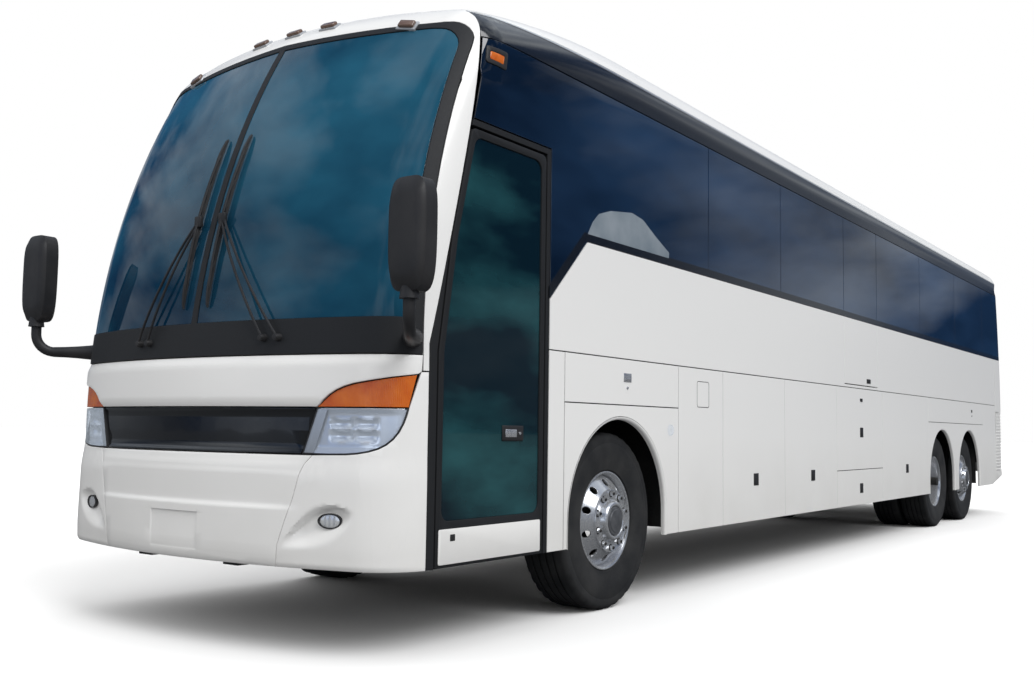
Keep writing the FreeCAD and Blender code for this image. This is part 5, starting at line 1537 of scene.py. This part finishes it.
for side, name in ((1, "left"), (-1, "right")):
    x = side * wheel["centreX"]
    for label, y in (("front", frontAxleY), ("tag", tagAxleY)):
        carrier = "%s_wheel_assembly_%s" % (label, name)
        tyre = bmesh.new()
        addTyre(tyre, x, y)
        finishPiece("%sTyre_%s" % (label, name), tyre, tyreRubber, carrier,
                    ["%s_tyre_%s" % (label, name)], smooth=28)
        finishPiece("%sWheel_%s" % (label, name), singleWheel(x, y, side), [wheelMetal, hubGrey, frameSteel], carrier,
                    ["%s_wheel_%s" % (label, name)], smooth=32)
        finishPiece("%sDisc_%s" % (label, name), discSheet(x, y, side, False), wheelMetal, carrier, normals=True)
    carrier = "drive_wheel_assembly_" + name
    pair = bmesh.new()
    addTyre(pair, x, driveAxleY)
    addTyre(pair, x - side * wheel["twinStep"], driveAxleY)
    finishPiece("driveTyres_" + name, pair, tyreRubber, carrier, ["drive_tyres_" + name], smooth=28)
    finishPiece("driveWheels_" + name, twinWheels(x, driveAxleY, side), [wheelMetal, hubGrey, frameSteel], carrier,
                ["drive_wheels_" + name], smooth=32)
    finishPiece("driveDisc_" + name, discSheet(x, driveAxleY, side, True), wheelMetal, carrier, normals=True)
print("wheels ready")


# Mirrors and wipers

mirror = {
    "x": 1.455, "frontY": -6.848, "z": 1.935,
    "width": 0.215, "depth": 0.11, "height": 0.515,
    "root": (1.245, 1.5),
}


def mirrorShell(side):
    # Head: a box swollen and rounded, narrower at its foot, open to the rear for the glass
    bm = bmesh.new()
    bmesh.ops.create_cube(bm, size=1.0)
    bmesh.ops.subdivide_edges(bm, edges=bm.edges[:], cuts=11, use_grid_fill=True)
    centre = Vector((side * mirror["x"], mirror["frontY"] + mirror["depth"] / 2, mirror["z"]))
    for vert in bm.verts:
        p = vert.co * 2
        power = 4.5
        swell = (abs(p.x) ** power + abs(p.z) ** power) ** (1 / power)
        reach = max(abs(p.x), abs(p.z))
        inPlane = reach / swell if swell > 0 else 1.0
        x, z = p.x * inPlane, p.z * inPlane
        taper = 1 - 0.1 * max(0, -z) ** 2
        rim = min(1.0, reach)
        y = p.y / 2
        if p.y < 0:
            y *= 0.42 + (0.58 * max(0.0, 1 - rim ** 5) ** 0.5 if p.y < -0.999 else 0)
        vert.co = Vector((x * mirror["width"] / 2 * taper, y * mirror["depth"], z * mirror["height"] / 2))
    bmesh.ops.recalc_face_normals(bm, faces=bm.faces[:])
    rear = [f for f in bm.faces if f.normal.y > 0.9 and f.calc_center_median().y > mirror["depth"] * 0.45]
    bmesh.ops.inset_region(bm, faces=rear, thickness=0.012, depth=0.0, use_even_offset=True)
    bmesh.ops.inset_region(bm, faces=rear, thickness=0.003, depth=-0.01, use_even_offset=True)
    for face in rear:
        face.material_index = 1
    placed(bm, bm.verts[:], Matrix.Translation(centre))
    return bm


def mirrorArm(bm, side):
    # Flattened arm that leaves a wide foot on the cowl, runs out and sweeps up into the head
    rootX, rootZ = mirror["root"]
    wall = skinPoint("front", rootX, rootZ)
    middleY = mirror["frontY"] + mirror["depth"] / 2
    head = mirror["z"] - mirror["height"] / 2
    path = arcPoints([(rootX - 0.01, wall.y + 0.01, rootZ + 0.005), (mirror["x"], middleY + 0.004, rootZ - 0.002),
                      (mirror["x"], middleY, head + 0.06)], 0.105, 10)
    lead = spread(0, 1, 0.25)[1:]
    route = [path[0]] + [path[0].lerp(path[1], share) for share in lead] + path[2:]
    radii = [0.05, 0.042, 0.036, 0.032, 0.03] + [0.0285] * (len(route) - 5)
    addTube(bm, [(side * p[0], p[1], p[2]) for p in route], radii, 20)
    foot = [(0.0, 0.0), (0.0, 0.062), (-0.012, 0.06), (-0.026, 0.052), (-0.034, 0.04), (-0.036, 0.0)]
    addLathe(bm, foot, 32, (side * (rootX - 0.03), wall.y + 0.004, rootZ + 0.004), "Y", isClosed=False)
    addLathe(bm, [(0.0, 0.0), (0.0, 0.045), (0.055, 0.038), (0.06, 0.03), (0.06, 0.0)], 28,
             (side * mirror["x"], middleY, head - 0.03), "Z", isClosed=False)


for side, name in ((1, "left"), (-1, "right")):
    arm = bmesh.new()
    mirrorArm(arm, side)
    finishPiece("mirror_" + name, joined([mirrorShell(side), arm]), [mouldedBlack, mirrorGlass],
                replaces=["mirrors"], smooth=45)

wiper = {
    "bladeX": 0.095, "footZ": 1.68, "headZ": 2.64, "middleZ": 2.15,
    "pivots": ((0.51, 0.6), (-0.45, -0.36)),
    "pivotZ": 1.51,
}


def overScreen(x, z, proud):
    spot = skinPoint("front", x, z)
    return spot + fieldNormal(*spot) * proud


def screenPath(x0, z0, x1, z1, lift, step=0.06):
    count = max(2, round(math.hypot(x1 - x0, z1 - z0) / step))
    route = []
    for i in range(count + 1):
        share = i / count
        proud = lift(share) if callable(lift) else lift
        route.append(overScreen(x0 + (x1 - x0) * share, z0 + (z1 - z0) * share, proud))
    return route


def bowed(ends, rise, power):
    # Height over the glass of a part that is bowed between its ends
    def lift(share):
        return ends + rise * math.sin(math.pi * share) ** power

    return lift


def wiperSet(side):
    bm = bmesh.new()
    x = side * wiper["bladeX"]
    foot, head, middle = wiper["footZ"], wiper["headZ"], wiper["middleZ"]
    addTube(bm, screenPath(x, foot, x, head, 0.0065), 0.0055, 8)
    addTube(bm, screenPath(x, foot + 0.02, x, head - 0.02, 0.014), 0.0045, 8)
    addTube(bm, screenPath(x, foot + 0.1, x, head - 0.1, bowed(0.016, 0.014, 0.6)), 0.007, 8)
    yokes = ((foot + 0.01, foot + 0.24), (foot + 0.26, foot + 0.46), (head - 0.46, head - 0.26),
             (head - 0.24, head - 0.01))
    for low, high in yokes:
        addTube(bm, screenPath(x, low, x, high, bowed(0.012, 0.013, 1), 0.03), 0.0058, 8)
    for k, pivot in enumerate(wiper["pivots"][0 if side > 0 else 1]):
        shift = (k - 0.5) * 0.02
        arm = screenPath(pivot, wiper["pivotZ"], x + shift, middle, bowed(0.022, 0.014, 0.7))
        addTube(bm, arm, 0.0068, 8)
        base = overScreen(pivot, wiper["pivotZ"], 0.0)
        addLathe(bm, [(0.004, 0.0), (0.004, 0.02), (-0.02, 0.018), (-0.034, 0.014), (-0.036, 0.0)], 20, base, "Y",
                 isClosed=False)
    joint = overScreen(x, middle, 0.024)
    addBox(bm, joint - Vector((0.024, 0.012, 0.03)), joint + Vector((0.024, 0.012, 0.03)), 0.006, 2)
    return bm


for side, name in ((1, "left"), (-1, "right")):
    finishPiece("wiper_" + name, wiperSet(side), mouldedBlack, replaces=["wipers"], smooth=40)


# Small things on the side

def bareBadge():
    # Bare grey plate on the glass: its lettering is left off
    outline = rows([(-0.414, 2.23), (0.62, 2.23), (0.625, 2.267), (0.425, 2.35), (0.26, 2.428), (0.115, 2.448),
                    (-0.148, 2.414),
                    (-0.29, 2.371), (-0.359, 2.311)])
    return sheet("side", rounded(outline, [0, 0, 0, 0.1, 0.1, 0.08, 0.08, 0.05, 0.05], 4), thickness=0.0022, gap=0,
                 edge=0.0006, lift=0.0012)


def sideMarker():
    frameOutline = rounded(rows([(-1.418, 2.978), (-1.262, 2.97), (-1.248, 3.068), (-1.398, 3.074)]), 0.014)
    lens = rounded(rows([(-1.392, 3.0), (-1.288, 2.994), (-1.277, 3.042), (-1.38, 3.047)]), 0.01)
    cuts = (spread(-6.2, -5.9, 0.03), ())
    return joined([sheet("side", frameOutline, [lens], thickness=0.006, gap=0, edge=0.002, lift=0.004, grid=cuts,
                         material=1),
                   sheet("side", lens, thickness=0.006, gap=0.002, edge=0.002, lift=0.003, grid=cuts)])


finishPiece("bareBadge_left", bareBadge(), badgeGrey, normals=True)
finishPiece("sideMarker_left", sideMarker(), [amberLens, mouldedBlack], smooth=40)
outline = rounded(rectangle(1.053, 1.251, 1.247, 1.433), 0.02)
seamLine = sheet("side", outline, [inset(outline, 0.0045)], thickness=0.0012, gap=0, edge=0.0002, lift=0.0006)
finishPiece("fillerSeam_left", seamLine, sealRubber, smooth=40)
print("mirrors, wipers and marks ready")


# Rear end

rear = {
    "endY": 11.466,
    "riseY": 10.55,
    "footZ": 0.57,
    "door": (0.9, 0.88, 1.9),
    "window": (0.98, 2.26, 3.02),
    "lampX": (0.96, 1.13),
    "lampZ": (0.96, 1.7),
    "louvreZ": (0.6, 1.43),
    "louvreX": 1.19,
    "slat": 0.0445,
    "bumperSeamZ": 0.862,
}


def tailPlace(x, z):
    return wrapPlace("tail", "front", x, z)


def tailSide(y, z):
    return wrapPlace("tail", "side", row(y), z)


def box2d(x0, x1, z0, z1, corner=0.0):
    outline = [tailPlace(x0, z0), tailPlace(x1, z0), tailPlace(x1, z1), tailPlace(x0, z1)]
    return rounded(outline, corner) if corner else outline


def tailCuts(low, high, sMax=2.1):
    run, bend = tailEnd["run"], tailEnd["bowRun"]
    across = spread(-bend, bend, 0.12)
    across += [side * s for side in (-1, 1) for s in spread(bend + 0.03, run + 0.02, 0.03)
               + spread(run + 0.1, sMax, 0.12)]
    return sorted(across), spread(low, high, 0.11)


def rearRelief(s, w):
    # Shallow groove where the bumper meets the panel, and a rolled edge at the foot
    groove = stepBetween(-0.012, -0.003, -abs(w - rear["bumperSeamZ"]))
    return -0.007 * groove - 0.012 * (1 - stepBetween(0.0, 0.035, w - 0.575)) * (abs(s) < tailEnd["bowRun"])


def louvreOutline(inset):
    low, high = rear["louvreZ"]
    s0 = tailPlace(rear["louvreX"], 1.0)[0] + inset
    s1 = tailSide(body["capEndY"], 1.0)[0] - 0.022 - inset
    return [(s0, low + inset), (s1, low + inset), (s1, high - inset), (s0, high - inset)]


def louvreRelief(s, w):
    low, high = rear["louvreZ"]
    share = ((w - low - 0.02) / rear["slat"]) % 1.0
    inside = (w > low + 0.019) and (w < high - 0.015)
    return -0.013 * (1 - share) if inside else 0.0


def rearShell():
    wEnd = fanFoot["tail"] + fanDepth * math.pi / 2
    edgeY, belt, top, head = body["capEndY"], body["beltZ"], body["glassTopZ"], body["stripTopZ"]
    sEdge = tailSide(edgeY, 1.0)[0]
    slope = (rear["footZ"] - body["skirtZ"]) / (rear["endY"] - rear["riseY"])
    foot = []
    for s in spread(-sEdge, sEdge, 0.06):
        y = wrapPoint("tail", s, 0.5).y - frontAxleY
        foot.append((s, body["skirtZ"] + (y - rear["riseY"]) * slope))
    side = [tailSide(edgeY, belt)] + [tailSide(rearGlassEdge(z), z) for z in spread(belt, top, 0.1)]
    side += [tailSide(11.104, z) for z in spread(top, head, 0.045)]
    side += [tailSide(y, head) for y in spread(11.104, edgeY, 0.06)[1:]]
    sBack = side[-1][0]
    side += [(sBack, w) for w in spread(side[-1][1], wEnd, 0.04)[1:]]
    outline = foot + side + [(-s, w) for s, w in side[::-1]]
    half, low, high = rear["door"]
    window, sill, lintel = rear["window"]
    lampHoles = [box2d(side * rear["lampX"][0], side * rear["lampX"][1], *rear["lampZ"]) for side in (1, -1)]
    louvreHoles = [louvreOutline(0.0), [(-s, w) for s, w in louvreOutline(0.0)]]
    holes = [box2d(-half, half, low, high), box2d(-window, window, sill, lintel, 0.07)] + lampHoles + louvreHoles
    across, upward = tailCuts(0.62, 3.05)
    seam = rear["bumperSeamZ"]
    upward += [seam + k * 0.006 for k in (-2, -1, 0, 1, 2)] + [0.585, 0.6] + spread(fanFoot["tail"], wEnd, 0.025)
    upward = sorted(upward)
    wrap = sheet("tail", outline, holes, thickness=0.03, gap=0.005, edge=0.003, grid=(across, upward),
                 relief=rearRelief)
    return joined([wrap, roofPatch("tail", sBack, wEnd, row(edgeY) + 0.003,
                                   spread(row(edgeY) + 0.08, row(11.3), 0.08))])


def louvres(side):
    outline = louvreOutline(0.003)
    low, high = rear["louvreZ"]
    steps = []
    place = low + 0.02
    while place < high - 0.015:
        steps += [place - 0.0015, place + 0.0015]
        place += rear["slat"]
    s0, s1 = outline[0][0], outline[1][0]
    outline = outline if side > 0 else [(-s, w) for s, w in outline]
    across = [side * s for s in spread(s0 + 0.03, s1, 0.04)]
    return sheet("tail", outline, thickness=0.02, gap=0.004, edge=0.002, grid=(sorted(across), steps),
                 relief=louvreRelief)


def doorRelief(s, w):
    # Pressed frame, slatted air intake and a recessed place for the rear plate, left bare
    raised = 0.0
    if abs(s) < 0.62 and 1.0 < w < 1.36:
        raised = -0.012 * (1 - ((w - 1.0) / 0.036) % 1.0) * stepBetween(0, 0.02, 0.62 - abs(s))
    if abs(s) < 0.3 and 1.5 < w < 1.72:
        raised = -0.016 * stepBetween(0, 0.02, 0.3 - abs(s)) * stepBetween(0, 0.02, min(w - 1.5, 1.72 - w))
    return raised


def engineDoorSheet():
    half, low, high = rear["door"]
    outline = [tailPlace(-half, low + 0.008), tailPlace(half, low + 0.008), tailPlace(half, high),
               tailPlace(-half, high)]
    steps = [1.0 + k * 0.036 + shift for k in range(11) for shift in (-0.0012, 0.0012)]
    steps += [1.5, 1.51, 1.52, 1.7, 1.71, 1.72]
    across = spread(-0.6, 0.6, 0.1) + [side * s for side in (-1, 1) for s in (0.28, 0.29, 0.3, 0.61, 0.62)]
    return sheet("tail", outline, thickness=0.028, gap=0.007, edge=0.004, grid=(sorted(across), sorted(steps)),
                 relief=doorRelief)


def tailLenses(side):
    low, high = rear["lampZ"]
    step = (high - low) / 3
    x0, x1 = rear["lampX"]
    parts = []
    bezel = box2d(side * (x0 + 0.002), side * (x1 - 0.002), low + 0.002, high - 0.002)
    parts.append(sheet("tail", bezel, thickness=0.02, gap=0, edge=0.001, lift=-0.012, material=3))
    for k, material in ((0, 2), (1, 1), (2, 0)):
        z0 = low + k * step
        middle = tailPlace(side * (x0 + x1) / 2, z0 + step / 2)
        outline = box2d(side * (x0 + 0.006), side * (x1 - 0.006), z0 + 0.005, z0 + step - 0.005, 0.03)

        def crown(s, w, centre=middle):
            u, v = (s - centre[0]) / 0.09, (w - centre[1]) / (step / 2)
            return -0.012 + 0.012 * max(0.0, 1 - u * u) ** 0.5 * max(0.0, 1 - v * v) ** 0.5

        cuts = (spread(outline[0][0] - 0.2, outline[0][0] + 0.2, 0.02), spread(z0, z0 + step, 0.02))
        parts.append(sheet("tail", outline, thickness=0.012, gap=0.001, edge=0.003, lift=-0.001, grid=cuts,
                           relief=crown, material=material))
    return joined(parts)


finishPiece("rearCap", rearShell(), paint, replaces=["rear_cap"], smooth=32)
finishPiece("engineDoorPanel", engineDoorSheet(), paint, "engine_door", ["engine_door"], smooth=32)
handles = bmesh.new()
for x in (-0.5, 0.5):
    spot = wrapPoint("tail", *tailPlace(x, 0.95))
    addBox(handles, spot + Vector((-0.06, -0.006, -0.02)), spot + Vector((0.06, 0.0015, 0.02)), 0.003, 2)
finishPiece("engineDoorLatches", handles, mouldedBlack, "engine_door", smooth=40)
for side, name in ((1, "left"), (-1, "right")):
    finishPiece("rearLouvres_" + name, louvres(side), paint, smooth=30)
    finishPiece("tailLenses_" + name, tailLenses(side), [redLens, amberLens, lampGrey, mouldedBlack],
                replaces=["tail_lamps"], smooth=32)
window, sill, lintel = rear["window"]
paneEdge = box2d(-window, window, sill, lintel, 0.07)
cuts = tailCuts(2.3, 3.0, 1.0)
rubber = sheet("tail", paneEdge, [inset(paneEdge if turnsLeft(paneEdge) else paneEdge[::-1], 0.03)], thickness=0.02,
               gap=0.006,
               edge=0.005, lift=0.0015, grid=cuts)
finishPiece("rearWindowRubber", rubber, sealRubber, normals=True)
pane = sheet("tail", paneEdge, thickness=0.006, gap=0.03, edge=0.001, lift=-0.004, grid=cuts)
finishPiece("rearWindow", pane, sideGlass, replaces=["glazing"], normals=True)
print("rear ready")


# Seats

seat = {
    "rows": 13, "firstY": -0.15, "pitch": 0.79,
    "aisle": 0.2, "pair": 0.94, "floorZ": 1.44,
    "cushion": (0.455, 0.46, 0.15),
    "back": (0.455, 0.085, 0.62),
    "lean": math.atan(0.19),
    "pressure": 4.0,
    "cap": 0.016,            # the furthest that the cloth may move
    "channel": 0.011,        # depth of the sewn channels
}
driverSeat = {"x": -0.9, "y": -1.33, "floorZ": 1.02, "wide": 0.52}


def padForm(size, cuts, waist):
    # Closed pad: a box with rounded rim whose sides pull in between its corners
    bm = bmesh.new()
    bmesh.ops.create_cube(bm, size=2.0)
    for axis in range(3):
        for k in range(1, cuts[axis]):
            cutAcross(bm, axis, -1 + 2 * k / cuts[axis])
    power = 7.0
    for vert in bm.verts:
        p = vert.co.copy()
        reach = max(abs(c) for c in p)
        swell = sum(abs(c) ** power for c in p) ** (1 / power)
        p *= reach / swell
        pull = Vector((1, 1, 1))
        pull.x -= waist * (1 - p.y ** 2) * (1 - p.z ** 2)
        pull.y -= waist * (1 - p.x ** 2) * (1 - p.z ** 2)
        vert.co = Vector((p.x * pull.x * size[0] / 2, p.y * pull.y * size[1] / 2, p.z * size[2] / 2))
    mesh = bpy.data.meshes.new("padForm")
    bm.to_mesh(mesh)
    bm.free()
    return mesh


def inflated(mesh):
    # Cloth blown up by pressure, its movement capped, so that the cover looks filled
    scene = bpy.context.scene
    start = [vert.co.copy() for vert in mesh.vertices]
    form = bpy.data.objects.new("padForm", mesh)
    scene.collection.objects.link(form)
    cloth = form.modifiers.new("cover", "CLOTH")
    cloth.settings.use_pressure = True
    cloth.settings.uniform_pressure_force = seat["pressure"]
    cloth.settings.effector_weights.gravity = 0
    cloth.settings.quality = 5
    cloth.point_cache.frame_start, cloth.point_cache.frame_end = 1, 20
    for step in range(1, 21):
        scene.frame_set(step)
    blown = form.evaluated_get(bpy.context.evaluated_depsgraph_get()).to_mesh()
    places = []
    for was, vert in zip(start, blown.vertices):
        move = vert.co - was
        places.append(was + move * min(1.0, seat["cap"] / max(move.length, 1e-9)))
    bpy.data.objects.remove(form)
    scene.frame_set(1)
    return places


def makePad(size, cuts, channels, isBack):
    # Runs the cover's simulation, fits it back to its size and sews the channels in
    mesh = padForm([c * 0.94 for c in size], cuts, 0.05)
    places = inflated(mesh)
    reach = [max(abs(p[axis]) for p in places) for axis in range(3)]
    fitted = [Vector([p[axis] / reach[axis] * size[axis] / 2 for axis in range(3)]) for p in places]
    face = 1 if isBack else 2
    sign = -1 if isBack else 1
    for p in fitted:
        if p[face] * sign > 0:
            for channel in channels:
                near = abs(p.x - channel * size[0] / 2) / (size[0] / cuts[0])
                if near < 0.5:
                    p[face] -= sign * seat["channel"]
    faces = [tuple(polygon.vertices) for polygon in mesh.polygons]
    bpy.data.meshes.remove(mesh)
    return fitted, faces


def addPad(bm, pad, matrix, stretch=1.0):
    places, faces = pad
    mesh = bpy.data.meshes.new("pad")
    mesh.from_pydata([(p.x * stretch, p.y, p.z) for p in places], [], faces)
    before = set(bm.verts)
    bm.from_mesh(mesh)
    bpy.data.meshes.remove(mesh)
    placed(bm, [v for v in bm.verts if v not in before], matrix)


def leanTurn(y, z, lean):
    return Matrix.Translation((0, y, z)) @ Matrix.Rotation(-lean, 4, "X")


cushionPad = makePad(seat["cushion"], (12, 12, 4), (-0.5, 0.5), False)
backPad = makePad(seat["back"], (12, 3, 16), (-0.5, 0.5), True)


def seatPads(x0, y0, floorZ, wide, count):
    bm = bmesh.new()
    step = wide / count
    for k in range(count):
        x = x0 + step * (k + 0.5)
        stretch = (step - 0.012) / seat["cushion"][0]
        addPad(bm, cushionPad, Matrix.Translation((x, y0 + 0.232, floorZ + 0.375)), stretch)
        spot = Matrix.Translation((x, 0, 0)) @ leanTurn(y0 + 0.485, floorZ + 0.765, seat["lean"])
        addPad(bm, backPad, spot, stretch)
    return bm


def seatFrame(x0, y0, floorZ, wide):
    # Pressed steel pedestal and pan
    bm = bmesh.new()
    middle = x0 + wide / 2
    addBox(bm, (middle - 0.045, y0 + 0.09, floorZ), (middle + 0.045, y0 + 0.39, floorZ + 0.295), 0.006, 2, 1)
    addBox(bm, (x0 + 0.02, y0 + 0.03, floorZ + 0.28), (x0 + wide - 0.02, y0 + 0.44, floorZ + 0.302), 0.006, 2, 1)
    return bm


def paddedSeat(name, node, place, wide, count):
    piece = finishPiece(name, seatPads(*place, wide, count), seatCloth, replaces=[node],
                        smooth=50)


frames = []
for i in range(seat["rows"]):
    for k, x0 in enumerate((seat["aisle"], -seat["aisle"] - seat["pair"])):
        place = (x0, row(seat["firstY"] + i * seat["pitch"]), seat["floorZ"])
        paddedSeat("seatPads_%02d" % (2 * i + k + 1), "seats", place, seat["pair"], 2)
        frames.append(seatFrame(*place, seat["pair"]))
finishPiece("seatPedestals", joined(frames), [mouldedBlack, frameSteel], smooth=40)
place = (driverSeat["x"], row(driverSeat["y"]), driverSeat["floorZ"])
paddedSeat("driverSeatPads", "driver_seat", place, driverSeat["wide"], 1)
finishPiece("driverSeatPedestal", seatFrame(*place, driverSeat["wide"]), [mouldedBlack, frameSteel], smooth=40)
print("seats ready")


# Finishes for the CAD solids that stay

kept = {"dashboard": dashVinyl, "cabin_floor": floorVinyl, "engine": enginePaint}
for node in ("door_arms", "front_frame", "rear_frame", "luggage_box", "wheel_housings", "front_axle", "drive_axle",
             "tag_axle", "knuckle_left", "knuckle_right"):
    kept[node] = frameSteel
for node, material in kept.items():
    solid = cadNodes[node]
    for slotIndex in range(len(solid.data.materials)):
        solid.data.materials[slotIndex] = material
print("carried-over solids dressed")


# Stage

stage = {
    "dome": 1.15,            # even light from all round
    "domeLow": 0.12,          # and less of it near the horizon, so that the ground below the skirt goes dark
    "sun": 1.35,
    "sunSpread": 35.0,       # degrees across: wide, so that the shadow is soft
    "sunFrom": (0.68, -0.16, 0.75),
    "skyLow": 0.35,
    "skyHigh": 1.25,
    "glow": 1.6,             # bright low sky ahead of the nose, which lamps and chrome pick up
}


def makeFloor():
    bm = bmesh.new()
    bmesh.ops.create_grid(bm, x_segments=1, y_segments=1, size=200)
    mesh = bpy.data.meshes.new("studioFloor")
    bm.to_mesh(mesh)
    bm.free()
    floor = bpy.data.objects.new("studioFloor", mesh)
    bpy.context.scene.collection.objects.link(floor)
    mesh.materials.append(makeStageFloor())


def makeWorld():
    # White to the camera, an even dome to matt surfaces and a broken cloudy sky to what shines
    world = bpy.data.worlds.new("studio")
    bpy.context.scene.world = world
    world.use_nodes = True
    world.node_tree.nodes.clear()
    place = addNode(world, "ShaderNodeTexCoord")
    split = addNode(world, "ShaderNodeSeparateXYZ", {}, {"Vector": place.outputs["Generated"]})

    def span(axis, fromMin, fromMax, toMin, toMax):
        limits = {"From Min": fromMin, "From Max": fromMax, "To Min": toMin, "To Max": toMax}
        return addNode(world, "ShaderNodeMapRange", limits, {"Value": split.outputs[axis]}).outputs["Result"]

    stretch = addNode(world, "ShaderNodeMapping", {"Scale": (1.0, 1.0, 2.6)}, {"Vector": place.outputs["Generated"]})
    cloud = addNode(world, "ShaderNodeTexNoise", {"Scale": 2.3, "Detail": 6.0, "Distortion": 0.3},
                    {"Vector": stretch.outputs["Vector"]})
    tone = addNode(world, "ShaderNodeValToRGB", {}, {"Fac": cloud.outputs["Fac"]})
    setRamp(tone, "#2C4A72", "#DDE4EC", 0.42, 0.66)
    glow = addNode(world, "ShaderNodeMath", {"operation": "MULTIPLY"},
                   {0: span("Y", -0.55, -0.95, 0.0, 1.0), 1: span("Z", 0.45, 0.1, 0.0, stage["glow"])})
    strength = addNode(world, "ShaderNodeMath", {"operation": "ADD"},
                       {0: span("Z", -0.02, 0.75, stage["skyLow"], stage["skyHigh"]), 1: glow.outputs["Value"]})
    sky = addNode(world, "ShaderNodeBackground", {},
                  {"Color": tone.outputs["Color"], "Strength": strength.outputs["Value"]})
    dome = addNode(world, "ShaderNodeBackground", {"Color": srgb("#FCFCFC")},
                   {"Strength": span("Z", 0.0, 0.3, stage["domeLow"], stage["dome"])})
    seen = addNode(world, "ShaderNodeBackground", {"Color": (1, 1, 1, 1), "Strength": 1.0})
    path = addNode(world, "ShaderNodeLightPath")
    lit = addNode(world, "ShaderNodeMixShader", {},
                  {"Fac": path.outputs["Is Glossy Ray"], 1: dome.outputs["Background"],
                                                     2: sky.outputs["Background"]})
    whole = addNode(world, "ShaderNodeMixShader", {}, {"Fac": path.outputs["Is Camera Ray"], 1: lit.outputs["Shader"],
                                                       2: seen.outputs["Background"]})
    addNode(world, "ShaderNodeOutputWorld", {}, {"Surface": whole.outputs["Shader"]})


def makeSun():
    lamp = bpy.data.lights.new("softSun", "SUN")
    lamp.energy = stage["sun"]
    lamp.angle = math.radians(stage["sunSpread"])
    carrier = bpy.data.objects.new("softSun", lamp)
    carrier.rotation_euler = (-Vector(stage["sunFrom"])).to_track_quat("-Z", "Y").to_euler()
    bpy.context.scene.collection.objects.link(carrier)


# The camera fitted to the photograph
view = {
    "place": (4.56, -10.390, 1.078),
    "yaw": 35.03, "pitch": 4.78, "roll": 0.84,
    "focal": 1079.7 / 1034,  # in widths of the picture
    "sensor": 36.0,
}


def makeCamera():
    lens = bpy.data.cameras.new("camera")
    lens.sensor_width = view["sensor"]
    lens.lens = view["sensor"] * view["focal"]
    lens.clip_end = 500
    camera = bpy.data.objects.new("camera", lens)
    yaw, pitch, roll = [math.radians(view[key]) for key in ("yaw", "pitch", "roll")]
    forward = Vector((-math.sin(yaw) * math.cos(pitch), math.cos(yaw) * math.cos(pitch), math.sin(pitch)))
    right = Vector((math.cos(yaw), math.sin(yaw), 0))
    up = right.cross(forward)
    right, up = right * math.cos(roll) + up * math.sin(roll), up * math.cos(roll) - right * math.sin(roll)
    turn = Matrix((right, up, -forward)).transposed().to_4x4()
    camera.matrix_world = Matrix.Translation(view["place"]) @ turn
    bpy.context.scene.collection.objects.link(camera)
    bpy.context.scene.camera = camera
    bpy.context.scene.view_settings.view_transform = "Standard"


makeFloor()
makeWorld()
makeSun()
makeCamera()
